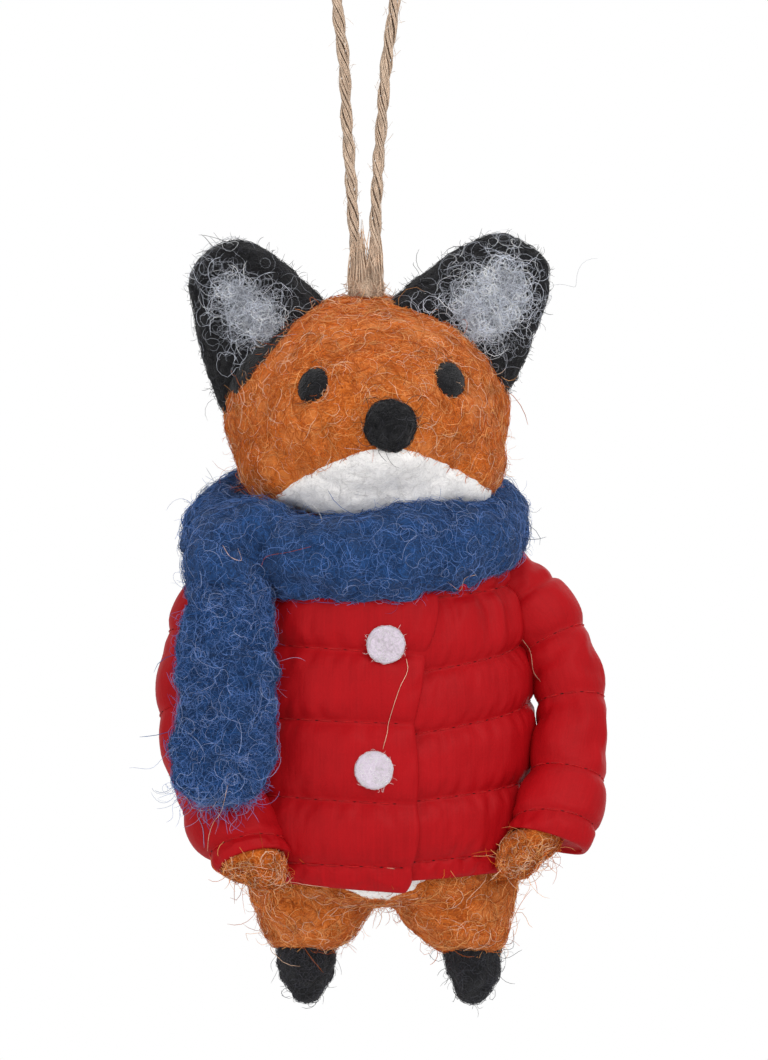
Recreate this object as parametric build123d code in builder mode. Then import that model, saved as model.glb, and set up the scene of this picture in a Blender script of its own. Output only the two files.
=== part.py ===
from build123d import *

from math import cos, hypot, pi, radians, sin, tan
import os

# A needle-felted fox that hangs from a loop of twine, in a quilted jacket and a scarf.
# Millimetres. The origin is the top inside of the loop, where the hook bears, and +Z is up.
# The fox faces -Y, so its own left side is at +X. A drop is a distance down from the crown,
# across is towards the fox's left, and depth is towards its back.

# Hanging loop, and how far behind it the middle of the fox hangs to balance
crown_drop = 53.0
twine_d = 1.85
knot_r = 2.7
knot_rise = 0.4
knot_gap = 0.4
balance = 1.2

# Head
head_half_width = 23.1
head_half_height = 18.4
head_back = 19.0
head_front = 25.0
snout_shift = 3.9
snout_dip = 3.6
nose_r = 4.1
nose_drop = 21.4
nose_sink = 0.4

# Eyes, and their places across and down the face
eye_thickness = 0.7
eye_half_width = 2.6
eye_half_height = 3.3
eye_tilt = 21.0
left_eye_across = 13.3
left_eye_drop = 14.1
right_eye_across = -8.4
right_eye_drop = 15.0

# White wool of the muzzle: the line where the orange wool ends
muzzle_thickness = 0.9
muzzle_left_across = 19.6
muzzle_left_drop = 31.4
muzzle_right_across = -15.4
muzzle_right_drop = 32.8
muzzle_top_across = 3.4
muzzle_top_drop = 24.2

# Ears, each from the middle of its foot to its tip
ear_depth = -3.0
ear_half_width = 11.4
ear_half_thickness = 4.8
left_ear_foot_across = 14.4
left_ear_foot_drop = 7.0
left_ear_tip_across = 26.0
left_ear_tip_drop = -7.6
right_ear_foot_across = -14.8
right_ear_foot_drop = 8.8
right_ear_tip_across = -25.0
right_ear_tip_drop = -8.2

# Pale wool in the ears
tuft_rise = 1.1
tuft_half_width = 4.8
tuft_half_height = 6.4
left_tuft_across = 20.4
left_tuft_drop = 1.4
left_tuft_tilt = -38.0
right_tuft_across = -19.6
right_tuft_drop = 3.0
right_tuft_tilt = 30.0

# Torso
torso_across = 2.3
torso_top_drop = 31.0
torso_height = 67.0
torso_half_width = 22.6
torso_half_depth = 17.6
belly_thickness = 0.6
belly_half_width = 13.0
belly_half_height = 18.0
belly_drop = 80.0

# Legs and feet
leg_top_drop = 90.0
leg_length = 15.8
leg_half_width = 10.4
leg_half_depth = 9.6
leg_depth = -0.5
left_leg_across = 14.3
left_leg_lean = 2.3
right_leg_across = -8.5
right_leg_lean = -0.6
foot_length = 8.3
foot_half_width = 4.7

# Tail
tail_root_depth = 12.0
tail_root_drop = 94.0
tail_reach = 18.0
tail_rise = 22.0
tail_half_width = 6.2
tail_slant = 45.0

# Jacket
jacket_ease = 0.35
cloth_seam = 0.8
cloth_puff = 2.3
collar_drop = 37.0
first_seam_drop = 47.0
second_seam_drop = 57.2
third_seam_drop = 67.8
fourth_seam_drop = 79.6
hem_seam_drop = 90.2
hem_drop = 94.0
side_seam_depth = 1.0
lap_top_across = 11.2
lap_foot_across = 6.3
lap_width = 7.5
lap_rise = 0.9
button_r = 3.05
button_height = 1.3
top_button_across = 3.2
top_button_drop = 56.0
bottom_button_across = 1.3
bottom_button_drop = 75.8

# Arms in their sleeves
shoulder_r = 7.2
shoulder_drop = 49.0
left_shoulder_across = 24.0
right_shoulder_across = -20.4
left_arm_length = 39.3
right_arm_length = 42.0
left_arm_forward = 13.2
right_arm_forward = 17.6
arm_bow = 10.0
sleeve_half_width = 7.4
sleeve_half_depth = 6.5
sleeve_ease = 0.3
armhole_gap = 0.45

# Scarf
scarf_half_width = 28.0
scarf_half_depth = 23.6
scarf_half_height = 7.4
scarf_across = -0.9
scarf_depth = -0.5
scarf_drop = 37.6
scarf_tilt = 17.0
end_thickness = 6.0
end_length = 31.0
end_half_width = 8.8
end_across = -22.4
end_depth = -19.4
end_drop = 50.5
end_lean = 10.0
end_skew = -1.6
end_gap = 0.4

# Facets: sides round a large form and round a small one, and the ribs of a ball
round_sides = 28
limb_sides = 16
ball_latitudes = (-76, -52, -26, 0, 26, 52, 76)

# Reach of cutting tools past what they cut
overrun = 4.0

crown_z = -crown_drop
knot_centre = Vector(0, 0, crown_z + knot_rise)
forward = (0, -1, 0)


def spot(across, depth, drop):
    """The point that far across, back and down from the crown."""
    return Vector(across, depth + balance, crown_z - drop)


def rib(centre, half_x, half_y, normal=(0, 0, 1), across=(1, 0, 0), sides=round_sides):
    """A many-sided oval round the true one. Its sides keep their directions at any size."""
    step = 2 * pi / sides
    reach = [hypot(half_x * cos(turn * step), half_y * sin(turn * step)) for turn in range(sides + 1)]
    corners = []
    for turn in range(sides):
        here, there = turn * step, (turn + 1) * step
        corner_x = (reach[turn] * sin(there) - reach[turn + 1] * sin(here)) / sin(step)
        corner_y = (reach[turn + 1] * cos(here) - reach[turn] * cos(there)) / sin(step)
        corners.append((corner_x, corner_y))
    with BuildSketch(Plane(origin=centre, x_dir=across, z_dir=normal), mode=Mode.PRIVATE) as outline:
        with BuildLine():
            Polyline(*corners, close=True)
        make_face()
    return outline.sketch


def form(ribs):
    """A form lofted through parallel ribs. Their sides run alike, so every facet is flat."""
    with BuildPart(mode=Mode.PRIVATE) as lofted:
        loft(sections=ribs, ruled=True)
    return Solid(Shell([Face(facet.outer_wire()) for facet in lofted.faces()]))


def ball(centre, radius, axis=(0, 0, 1)):
    """A ball of wool in flat facets, with its poles on the axis."""
    ribs = []
    for latitude in ball_latitudes:
        middle = centre + Vector(axis) * (radius * sin(radians(latitude)))
        size = radius * cos(radians(latitude))
        ribs.append(rib(middle, size, size, axis, sides=limb_sides))
    return form(ribs)


def save(piece, label):
    """Names a finished piece and writes it."""
    piece.part.label = label
    export_step(piece.part, f"parts/{label}.step")


os.makedirs("parts", exist_ok=True)

# Twine loop
# Up from the knot, over the hook and down again. The two strands lie close at the knot and part above it.
twine_route = [
    (-1.35, 0.0, -50.6),
    (-2.0, 0.15, -42.5),
    (-2.5, -0.2, -33.5),
    (-3.2, 0.1, -24.0),
    (-3.5, 0.0, -15.5),
    (-4.5, 0.15, -8.5),
    (-4.95, 0.0, -2.0),
    (-2.05, 0.0, 0.925),
    (2.05, 0.0, 0.925),
    (4.95, 0.0, -2.0),
    (4.3, -0.15, -8.5),
    (3.2, 0.0, -15.5),
    (2.6, -0.1, -24.0),
    (1.8, 0.2, -33.5),
    (1.45, -0.1, -42.5),
    (1.35, 0.0, -50.6),
]
arc_share = 0.45
twine_sides = 8


def corner_radii(points):
    """As large an arc at each corner as its two runs allow."""
    radii = []
    for before, here, after in zip(points, points[1:], points[2:]):
        run_in = Vector(here) - Vector(before)
        run_out = Vector(after) - Vector(here)
        turn = radians(run_in.get_angle(run_out))
        radii.append(arc_share * min(run_in.length, run_out.length) / tan(turn / 2))
    return radii


twine_radii = corner_radii(twine_route)
with BuildPart() as twine_loop:
    with BuildLine() as twine_path:
        FilletPolyline(*twine_route, radius=twine_radii)
    with BuildSketch(Plane(origin=twine_path.line @ 0, z_dir=twine_path.line % 0)) as twine_section:
        RegularPolygon(twine_d / 2, twine_sides)
    sweep()
twine_length = sum(edge.length for edge in twine_path.line.edges())
twine_fill = twine_loop.part.volume / (twine_section.sketch.area * twine_length)
print("twine radii", [round(radius, 1) for radius in twine_radii])
print("twine length", round(twine_length, 1), "volume share", round(twine_fill, 4))
with twine_loop:
    add(ball(knot_centre, knot_r + knot_gap), mode=Mode.SUBTRACT)
save(twine_loop, "twine_loop")

# The knot that ties the two ends, half sunk in the crown
with BuildPart() as twine_knot:
    add(ball(knot_centre, knot_r))
save(twine_knot, "twine_knot")

# Head
# The back is round. The face is a blunt cone whose tip, the snout, turns a little to one side.
head_back_angles = (78, 60, 44, 28, 13)
head_front_shares = ((0.0, 1.0), (0.2, 0.975), (0.4, 0.895), (0.58, 0.77), (0.74, 0.61), (0.88, 0.43), (1.0, 0.22))


def head_form(grow=0.0):
    """The whole head, made larger all round by grow."""
    ribs = []
    for angle in head_back_angles:
        size = cos(radians(angle))
        centre = spot(0, (head_back + grow) * sin(radians(angle)), head_half_height)
        ribs.append(rib(centre, head_half_width * size + grow, head_half_height * size + grow, forward))
    for reach_share, size_share in head_front_shares:
        drift = reach_share**2
        centre = spot(
            snout_shift * drift,
            -(head_front + grow) * reach_share,
            head_half_height + snout_dip * drift,
        )
        half_width = head_half_width * size_share + grow
        half_height = head_half_height * size_share + grow
        ribs.append(rib(centre, half_width, half_height, forward))
    return form(ribs)


knot_pocket = ball(knot_centre, knot_r + knot_gap)
with BuildPart() as head:
    add(head_form())
    add(knot_pocket, mode=Mode.SUBTRACT)
save(head, "head")

# Nose, a ball of black wool at the end of the snout
with BuildPart() as nose:
    add(ball(spot(snout_shift, nose_sink - head_front, nose_drop), nose_r))
    add(head.part, mode=Mode.SUBTRACT)
save(nose, "nose")

face_plane = Plane(origin=spot(0, 0, 0), x_dir=(1, 0, 0), z_dir=forward)
face_reach = head_front + nose_r + overrun

# White muzzle, a thin layer of wool over the lower face
jaw_drop = 2 * head_half_height + overrun
with BuildPart() as muzzle:
    add(head_form(muzzle_thickness))
    with BuildSketch(face_plane) as muzzle_outline:
        with BuildLine():
            edge = ThreePointArc(
                (muzzle_right_across, -muzzle_right_drop),
                (muzzle_top_across, -muzzle_top_drop),
                (muzzle_left_across, -muzzle_left_drop),
            )
            Polyline(
                edge @ 1,
                (muzzle_left_across, -jaw_drop),
                (muzzle_right_across, -jaw_drop),
                edge @ 0,
            )
        make_face()
    extrude(amount=face_reach, mode=Mode.INTERSECT)
    add(head.part, mode=Mode.SUBTRACT)
    add(nose.part, mode=Mode.SUBTRACT)
save(muzzle, "muzzle")

# Eyes, ovals of black wool felted into the face
for name, across, drop, tilt in (
    ("left_eye", left_eye_across, left_eye_drop, eye_tilt),
    ("right_eye", right_eye_across, right_eye_drop, -eye_tilt),
):
    level = (cos(radians(tilt)), 0, sin(radians(tilt)))
    with BuildPart() as eye:
        add(head_form(eye_thickness))
        outline = rib(spot(across, 0, drop), eye_half_width, eye_half_height, forward, level, limb_sides)
        extrude(outline, amount=face_reach, mode=Mode.INTERSECT)
        add(head.part, mode=Mode.SUBTRACT)
    save(eye, name)

# Ears, thick at the foot and thinner at the round tip, and the tufts of pale wool in them
# Shares of the way to the tip, of the width there and of the thickness there
ear_shares = ((-0.3, 1.05, 1.0), (0.0, 1.0, 1.0), (0.35, 0.86, 0.86), (0.65, 0.69, 0.72), (0.86, 0.5, 0.58), (1.0, 0.26, 0.35))
tuft_shares = ((0.0, 1.0), (0.7, 0.92), (1.0, 0.55))
for side, foot, tip, tuft_across, tuft_drop, tilt in (
    (
        "left",
        spot(left_ear_foot_across, ear_depth, left_ear_foot_drop),
        spot(left_ear_tip_across, ear_depth, left_ear_tip_drop),
        left_tuft_across,
        left_tuft_drop,
        left_tuft_tilt,
    ),
    (
        "right",
        spot(right_ear_foot_across, ear_depth, right_ear_foot_drop),
        spot(right_ear_tip_across, ear_depth, right_ear_tip_drop),
        right_tuft_across,
        right_tuft_drop,
        right_tuft_tilt,
    ),
):
    up = (tip - foot).normalized()
    ear_ribs = []
    for place, width_share, thickness_share in ear_shares:
        centre = foot + (tip - foot) * place
        half_width = ear_half_width * width_share
        half_thickness = ear_half_thickness * thickness_share
        ear_ribs.append(rib(centre, half_width, half_thickness, up, up.cross(Vector(0, 1, 0)), limb_sides))
    with BuildPart() as ear:
        add(form(ear_ribs))
        add(knot_pocket, mode=Mode.SUBTRACT)
        add(head.part, mode=Mode.SUBTRACT)
    save(ear, f"{side}_ear")
    level = (cos(radians(tilt)), 0, sin(radians(tilt)))
    tuft_ribs = []
    for place, size_share in tuft_shares:
        centre = spot(tuft_across, ear_depth - (ear_half_thickness + tuft_rise) * place, tuft_drop)
        half_width = tuft_half_width * size_share
        tuft_ribs.append(rib(centre, half_width, tuft_half_height * size_share, forward, level, limb_sides))
    with BuildPart() as tuft:
        add(form(tuft_ribs))
        add(ear.part, mode=Mode.SUBTRACT)
        add(head.part, mode=Mode.SUBTRACT)
    save(tuft, f"{side}_ear_tuft")

# Sleeves, as the forms that the jacket and the torso make room for
# How far out, forward and down each rib lies from the shoulder, and its size. The last two are the paw.
left_arm_shares = (
    (0.0, 0.0, 0.0, 0.68),
    (0.5, 0.08, 0.17, 0.7),
    (0.8, 0.28, 0.415, 0.74),
    (0.9, 0.62, 0.72, 0.86),
    (0.72, 0.92, 0.93, 0.96),
    (0.5, 1.0, 1.0, 0.97),
    (0.26, 1.05, 1.09, 0.66),
    (0.06, 1.07, 1.17, 0.32),
)
right_arm_shares = (
    (0.0, 0.0, 0.0, 0.72),
    (0.52, 0.1, 0.16, 0.84),
    (0.62, 0.32, 0.43, 0.93),
    (0.32, 0.72, 0.76, 1.0),
    (-0.1, 0.93, 0.95, 0.92),
    (-0.26, 1.0, 1.0, 0.88),
    (-0.42, 1.04, 1.06, 0.64),
    (-0.52, 1.06, 1.12, 0.34),
)
cuff = 6
arm_tables = {
    "left": (left_arm_shares, left_shoulder_across, left_arm_length, left_arm_forward, 1),
    "right": (right_arm_shares, right_shoulder_across, right_arm_length, right_arm_forward, -1),
}


def arm_ribs(side):
    """Each rib's centre and size share, from the shoulder to the tip of the paw."""
    shares, across, length, reach, outward = arm_tables[side]
    return [
        (spot(across + outward * arm_bow * out, -reach * ahead, shoulder_drop + length * down), size_share)
        for out, ahead, down, size_share in shares
    ]


def arm_form(side, first, last, grows):
    """The arm from one rib to another. Each rib is made larger by its own value in grows."""
    ribs = arm_ribs(side)
    run = (ribs[cuff - 1][0] - ribs[0][0]).normalized()
    level = Vector(0, 1, 0).cross(run).normalized()
    steps = (len(grows) - 1) // (last - first)
    sections = []
    for number, grow in enumerate(grows):
        index = min(first + number // steps, last - 1)
        along = (first + number / steps) - index
        (centre, size_share), (next_centre, next_share) = ribs[index], ribs[index + 1]
        middle = centre + (next_centre - centre) * along
        size = size_share + (next_share - size_share) * along
        half_width = sleeve_half_width * size + grow
        half_depth = sleeve_half_depth * size + grow
        sections.append(rib(middle, half_width, half_depth, run, level, limb_sides))
    return form(sections)


def shoulder(side):
    """The middle of the shoulder, which the arm turns about."""
    return arm_ribs(side)[0][0]


# Room for each sleeve and its round shoulder
armholes = []
for side in arm_tables:
    armholes.append(arm_form(side, 0, cuff - 1, [armhole_gap] * cuff))
    armholes.append(ball(shoulder(side), shoulder_r + armhole_gap, forward))


# Torso
# Shares of the height from the neck down, of the width there and of the depth there
torso_shares = (
    (0.0, 0.5, 0.55),
    (0.1, 0.66, 0.72),
    (0.22, 0.86, 0.88),
    (0.36, 0.94, 0.95),
    (0.52, 0.99, 0.99),
    (0.68, 1.0, 1.0),
    (0.84, 0.985, 0.98),
    (0.93, 0.93, 0.93),
    (0.98, 0.78, 0.8),
    (1.0, 0.55, 0.58),
)
torso_drops = [torso_top_drop + torso_height * share for share, _, _ in torso_shares]


def torso_size(drop):
    """Half the torso's width and depth at that drop."""
    place = min(max((drop - torso_top_drop) / torso_height, 0), 1)
    for upper, lower in zip(torso_shares, torso_shares[1:]):
        if place <= lower[0]:
            along = (place - upper[0]) / (lower[0] - upper[0])
            width_share = upper[1] + (lower[1] - upper[1]) * along
            depth_share = upper[2] + (lower[2] - upper[2]) * along
            return torso_half_width * width_share, torso_half_depth * depth_share


def torso_rib(drop, grow=0.0):
    """The torso's rib at that drop, made larger all round by grow."""
    half_width, half_depth = torso_size(drop)
    return rib(spot(torso_across, 0, drop), half_width + grow, half_depth + grow)


torso_form = form([torso_rib(drop) for drop in torso_drops])
torso_core = form([torso_rib(drop, -belly_thickness) for drop in torso_drops])

# White belly, a layer of wool level with the rest
with BuildPart() as belly:
    add(torso_form)
    belly_middle = spot(torso_across, 0, belly_drop)
    extrude(
        rib(belly_middle, belly_half_width, belly_half_height, forward, sides=limb_sides),
        amount=torso_half_depth + overrun,
        mode=Mode.INTERSECT,
    )
    add(torso_core, mode=Mode.SUBTRACT)
save(belly, "belly_patch")

with BuildPart() as torso:
    add(torso_form)
    for neighbour in (head.part, muzzle.part, belly.part):
        add(neighbour, mode=Mode.SUBTRACT)
    add(armholes, mode=Mode.SUBTRACT)
save(torso, "torso")

# Tail
# It leaves under the jacket's hem and curls up behind, with its own white tip. Shares of the reach
# back and of the rise, then of the width and of the height of each slanting rib.
tail_shares = (
    (0.0, -0.06, 0.6, 0.8),
    (0.3, 0.0, 0.84, 1.15),
    (0.62, 0.1, 0.98, 1.1),
    (0.88, 0.3, 1.0, 1.0),
    (1.0, 0.58, 0.9, 0.98),
    (1.02, 0.82, 0.66, 0.75),
    (1.0, 1.0, 0.3, 0.34),
)
tail_white = 4
tail_normal = (0, cos(radians(tail_slant)), sin(radians(tail_slant)))
tail_ribs = []
for back_share, rise_share, width_share, height_share in tail_shares:
    centre = spot(torso_across, tail_root_depth + tail_reach * back_share, tail_root_drop - tail_rise * rise_share)
    half_width = tail_half_width * width_share
    tail_ribs.append(rib(centre, half_width, tail_half_width * height_share, tail_normal, sides=limb_sides))
with BuildPart() as tail:
    add(form(tail_ribs[: tail_white + 1]))
    add(torso.part, mode=Mode.SUBTRACT)
save(tail, "tail")
with BuildPart() as tail_tip:
    add(form(tail_ribs[tail_white:]))
save(tail_tip, "tail_tip")

# Jacket
# A padded shell over the torso, sewn across at the seams and puffed out between them.
puff_shares = ((0.0, 0.0), (0.22, 0.82), (0.5, 1.0), (0.78, 0.82))
seam_drops = (collar_drop, first_seam_drop, second_seam_drop, third_seam_drop, fourth_seam_drop, hem_seam_drop)
shell_levels = []
for upper, lower in zip(seam_drops, seam_drops[1:]):
    for place_share, puff_share in puff_shares:
        cloth = cloth_seam + (cloth_puff - cloth_seam) * puff_share
        shell_levels.append((upper + (lower - upper) * place_share, cloth))
shell_levels.append((hem_seam_drop, cloth_seam))
shell_levels.append(((hem_seam_drop + hem_drop) / 2, (cloth_seam + cloth_puff) / 2))
shell_levels.append((hem_drop, cloth_seam))

lining_top, lining_foot = collar_drop - overrun, hem_drop + overrun
lining_drops = [lining_top, *[drop for drop in torso_drops if lining_top < drop < lining_foot], lining_foot]
lining = form([torso_rib(drop, jacket_ease) for drop in lining_drops])


def jacket_shell(rise):
    """The jacket's cloth all round, raised by rise."""
    with BuildPart(mode=Mode.PRIVATE) as shell:
        add(form([torso_rib(drop, jacket_ease + cloth + rise) for drop, cloth in shell_levels]))
        for neighbour in (lining, head.part, muzzle.part, tail.part, tail_tip.part):
            add(neighbour, mode=Mode.SUBTRACT)
    return shell.part


cloth_shell = jacket_shell(0)
lap_shell = jacket_shell(lap_rise)
front_reach = torso_half_depth + jacket_ease + cloth_puff + lap_rise + side_seam_depth + overrun
side_reach = torso_half_width + jacket_ease + cloth_puff + overrun
front_plane = face_plane.offset(-side_seam_depth)


def front_zone(far_across):
    """The jacket's front between the slanting lap edge and an upright line, as a block."""
    lap_slope = (lap_foot_across - lap_top_across) / (hem_drop - collar_drop)
    with BuildPart(mode=Mode.PRIVATE) as zone:
        with BuildSketch(front_plane):
            with BuildLine():
                Polyline(
                    (lap_top_across - lap_slope * overrun, overrun - collar_drop),
                    (lap_foot_across + lap_slope * overrun, -hem_drop - overrun),
                    (far_across, -hem_drop - overrun),
                    (far_across, overrun - collar_drop),
                    close=True,
                )
            make_face()
        extrude(amount=front_reach)
    return zone.part


# The right front laps over the left. Its edge is one more layer of cloth.
with BuildPart() as jacket_right_front:
    add(cloth_shell)
    add(front_zone(torso_across - side_reach), mode=Mode.INTERSECT)
with BuildPart() as lap_strip:
    add(lap_shell)
    add(front_zone(lap_foot_across - lap_width), mode=Mode.INTERSECT)
with jacket_right_front:
    add(lap_strip.part)
    add(armholes, mode=Mode.SUBTRACT)
save(jacket_right_front, "jacket_right_front")

with BuildPart() as jacket_left_front:
    add(cloth_shell)
    add(front_zone(torso_across + side_reach), mode=Mode.INTERSECT)
    add(armholes, mode=Mode.SUBTRACT)
save(jacket_left_front, "jacket_left_front")

with BuildPart() as jacket_back:
    add(cloth_shell)
    split(bisect_by=front_plane, keep=Keep.BOTTOM)
    add(armholes, mode=Mode.SUBTRACT)
save(jacket_back, "jacket_back")
jacket_pieces = (jacket_right_front.part, jacket_left_front.part, jacket_back.part)

# Felt buttons on the lapped edge
for name, across, drop in (
    ("top_button", top_button_across, top_button_drop),
    ("bottom_button", bottom_button_across, bottom_button_drop),
):
    cloth_reach = torso_size(drop)[1] + jacket_ease + cloth_puff + lap_rise
    with BuildPart() as button:
        with BuildSketch(face_plane.offset(cloth_reach + button_height)):
            with Locations((across, -drop)):
                RegularPolygon(button_r, round_sides)
        extrude(amount=-(button_height + lap_rise + cloth_puff))
        add(jacket_right_front.part, mode=Mode.SUBTRACT)
    with BuildPart() as front_button:
        add(button.part.solids().sort_by(Axis.Y)[0])
    save(front_button, name)

# Legs, short cones of wool that run into black feet
# Shares of the length down the leg, of its width and of its lean; then the same down the foot
leg_shares = ((0.0, 0.93, 0.0), (0.3, 1.0, 0.0), (0.5, 0.93, 0.1), (0.76, 0.72, 0.35), (1.0, 0.46, 1.0))
foot_shares = ((0.0, 1.0), (0.35, 0.94), (0.7, 0.7), (0.92, 0.4), (1.0, 0.2))
legs = []
for side, across, lean in (
    ("left", left_leg_across, left_leg_lean),
    ("right", right_leg_across, right_leg_lean),
):
    leg_ribs = []
    for place, size_share, lean_share in leg_shares:
        centre = spot(across + lean * lean_share, leg_depth, leg_top_drop + leg_length * place)
        leg_ribs.append(rib(centre, leg_half_width * size_share, leg_half_depth * size_share, sides=limb_sides))
    with BuildPart() as leg_and_scraps:
        add(form(leg_ribs))
        for neighbour in (torso.part, belly.part, *jacket_pieces, *legs):
            add(neighbour, mode=Mode.SUBTRACT)
    with BuildPart() as leg:
        add(leg_and_scraps.part.solids().sort_by(SortBy.VOLUME)[-1])
    legs.append(leg.part)
    save(leg, f"{side}_leg")
    foot_ribs = []
    for place, size_share in foot_shares:
        centre = spot(across + lean, leg_depth, leg_top_drop + leg_length + foot_length * place)
        foot_ribs.append(rib(centre, foot_half_width * size_share, foot_half_width * size_share, sides=limb_sides))
    with BuildPart() as foot:
        add(form(foot_ribs))
    save(foot, f"{side}_foot")

# Arms with their paws, and the quilted sleeves over them
sleeve_core = -(cloth_seam + cloth_puff) / 2
arm_core = sleeve_core - sleeve_ease
for side in arm_tables:
    arm_grows = [arm_core] * cuff + [0] * (len(left_arm_shares) - cuff)
    with BuildPart() as arm:
        add(arm_form(side, 0, len(arm_grows) - 1, arm_grows))
    save(arm, f"{side}_arm")
    sleeve_grows = [0 if number % 2 else sleeve_core + cloth_seam for number in range(2 * cuff - 1)]
    with BuildPart() as sleeve:
        add(arm_form(side, 0, cuff - 1, sleeve_grows))
        add(ball(shoulder(side), shoulder_r, forward))
        add(arm_form(side, 0, cuff - 1, [sleeve_core] * cuff), mode=Mode.SUBTRACT)
    save(sleeve, f"{side}_sleeve")

# Scarf
# One band round the neck, lower at the front, with its end hanging before the right arm.
scarf_normal = Vector(0, -sin(radians(scarf_tilt)), cos(radians(scarf_tilt)))
scarf_shares = ((-1.0, 0.82), (-0.8, 0.93), (-0.42, 1.0), (0.42, 0.98), (0.8, 0.9), (1.0, 0.78))
scarf_ribs = []
for height_share, size_share in scarf_shares:
    centre = spot(scarf_across, scarf_depth, scarf_drop) + scarf_normal * (scarf_half_height * height_share)
    scarf_ribs.append(rib(centre, scarf_half_width * size_share, scarf_half_depth * size_share, scarf_normal))
end_hinge = spot(end_across, end_depth, end_drop)
fold_plane = Plane(origin=end_hinge, x_dir=(0, 1, 0), z_dir=(1, 0, 0))
with BuildPart() as scarf_wrap:
    add(form(scarf_ribs))
    for neighbour in (head.part, muzzle.part, torso.part, *jacket_pieces):
        add(neighbour, mode=Mode.SUBTRACT)
    add(armholes, mode=Mode.SUBTRACT)
    with BuildSketch(fold_plane):
        RegularPolygon(end_thickness / 2 + end_gap, limb_sides, major_radius=False)
    extrude(amount=end_half_width + overrun, both=True, mode=Mode.SUBTRACT)
save(scarf_wrap, "scarf_wrap")

# The hanging end turns about the fold at its top
# Shares of the length, the width and the thickness
end_shares = ((0.0, 0.86, 1.0), (0.3, 0.94, 1.0), (0.6, 0.98, 1.02), (0.86, 1.0, 1.0), (0.96, 0.9, 0.8), (1.0, 0.74, 0.5))
end_run = Vector(0, -sin(radians(end_lean)), -cos(radians(end_lean)))
end_ribs = []
for place, width_share, thickness_share in end_shares:
    centre = end_hinge + end_run * (end_length * place) + Vector(end_skew * place, 0, 0)
    half_width = end_half_width * width_share
    end_ribs.append(rib(centre, half_width, end_thickness / 2 * thickness_share, end_run, sides=limb_sides))
with BuildPart() as scarf_end:
    add(form(end_ribs))
    with BuildSketch(fold_plane):
        RegularPolygon(end_thickness / 2, limb_sides, major_radius=False)
    extrude(amount=end_half_width * end_shares[0][1], both=True)
save(scarf_end, "scarf_end")
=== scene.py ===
"""A needle-felted fox ornament in a quilted jacket and a scarf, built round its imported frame."""

from functools import partial
from math import asin, atan2, cos, hypot, pi, radians, sin, sqrt, tau

import bmesh
import bpy
import numpy as np
from mathutils import Matrix, Vector
from mathutils.bvhtree import BVHTree
from mathutils.noise import noise


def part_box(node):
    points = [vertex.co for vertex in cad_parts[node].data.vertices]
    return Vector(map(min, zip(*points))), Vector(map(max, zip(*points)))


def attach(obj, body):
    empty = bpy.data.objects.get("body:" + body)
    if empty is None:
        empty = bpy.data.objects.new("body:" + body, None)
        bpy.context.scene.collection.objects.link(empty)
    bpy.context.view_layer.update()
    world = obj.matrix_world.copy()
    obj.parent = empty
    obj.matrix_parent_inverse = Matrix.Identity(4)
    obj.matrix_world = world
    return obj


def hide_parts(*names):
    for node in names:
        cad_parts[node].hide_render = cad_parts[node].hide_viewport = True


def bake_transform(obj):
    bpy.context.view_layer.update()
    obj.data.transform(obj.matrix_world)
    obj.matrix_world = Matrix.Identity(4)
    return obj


bl_info = {
    "name": "Felt fox ornament",
    "version": (1, 0, 0),
    "blender": (4, 5, 0),
    "location": "View3D > Sidebar > Fox",
    "description": "Builds the looks of a felt fox ornament round its frame",
    "category": "Add Mesh",
}

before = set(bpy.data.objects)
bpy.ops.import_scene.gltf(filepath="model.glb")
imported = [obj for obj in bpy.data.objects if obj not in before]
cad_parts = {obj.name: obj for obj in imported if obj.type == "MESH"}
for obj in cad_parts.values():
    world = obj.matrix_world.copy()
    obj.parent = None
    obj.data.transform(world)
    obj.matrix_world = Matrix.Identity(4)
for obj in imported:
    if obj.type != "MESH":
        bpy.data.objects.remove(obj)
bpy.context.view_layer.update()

MM = 0.001
CROWN = -53.0
MIDDLE = 1.2
LEFT, UP, FRONT = Vector((1, 0, 0)), Vector((0, 0, 1)), Vector((0, -1, 0))

# Forms, in millimetres from the crown, as the frame has them
HEAD_HALF = (23.1, 18.4)
HEAD_BACK, HEAD_FRONT = 19.0, 25.0
SNOUT_SHIFT, SNOUT_DIP = 3.9, 3.6
HEAD_BACK_ANGLES = (78, 60, 44, 28, 13)
HEAD_FRONT_SHARES = ((0, 1), (0.2, 0.975), (0.4, 0.895), (0.58, 0.77), (0.74, 0.61), (0.88, 0.43), (1, 0.22))
# The chin and the cheeks, as a middle and half sizes
JOWLS = (
    ((1.6, -9.2, 26.4), (17.6, 10.6, 10.4)),
    ((-12.3, -4, 26.3), (8.5, 12.0, 8.7)),
    ((13.6, -4, 26.8), (8.5, 12.0, 8.7)),
)
NOSE, NOSE_RADIUS = (3.9, -24.6, 21.4), 4.1
EYES = {"left_eye": (13.3, 14.1, -20.0), "right_eye": (-8.4, 15.0, 21.0)}
EYE_HALF = (2.5, 3.35)
# The muzzle's upper edge: how far it is down from the crown at each place across
MUZZLE_X = (-19.0, -15.2, -11.2, -6.2, -1.3, 3.4, 7.2, 11.9, 16.4, 19.6, 23)
MUZZLE_DROP = (35.5, 32.2, 29.2, 26.7, 24.7, 23.8, 24.4, 26.2, 28.4, 30.4, 33)
EAR_SHARES = (
    (-0.3, 1.1, 1), (0, 1.05, 1), (0.35, 0.9, 0.86), (0.65, 0.73, 0.72), (0.86, 0.54, 0.58), (0.98, 0.3, 0.35),
)
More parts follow.
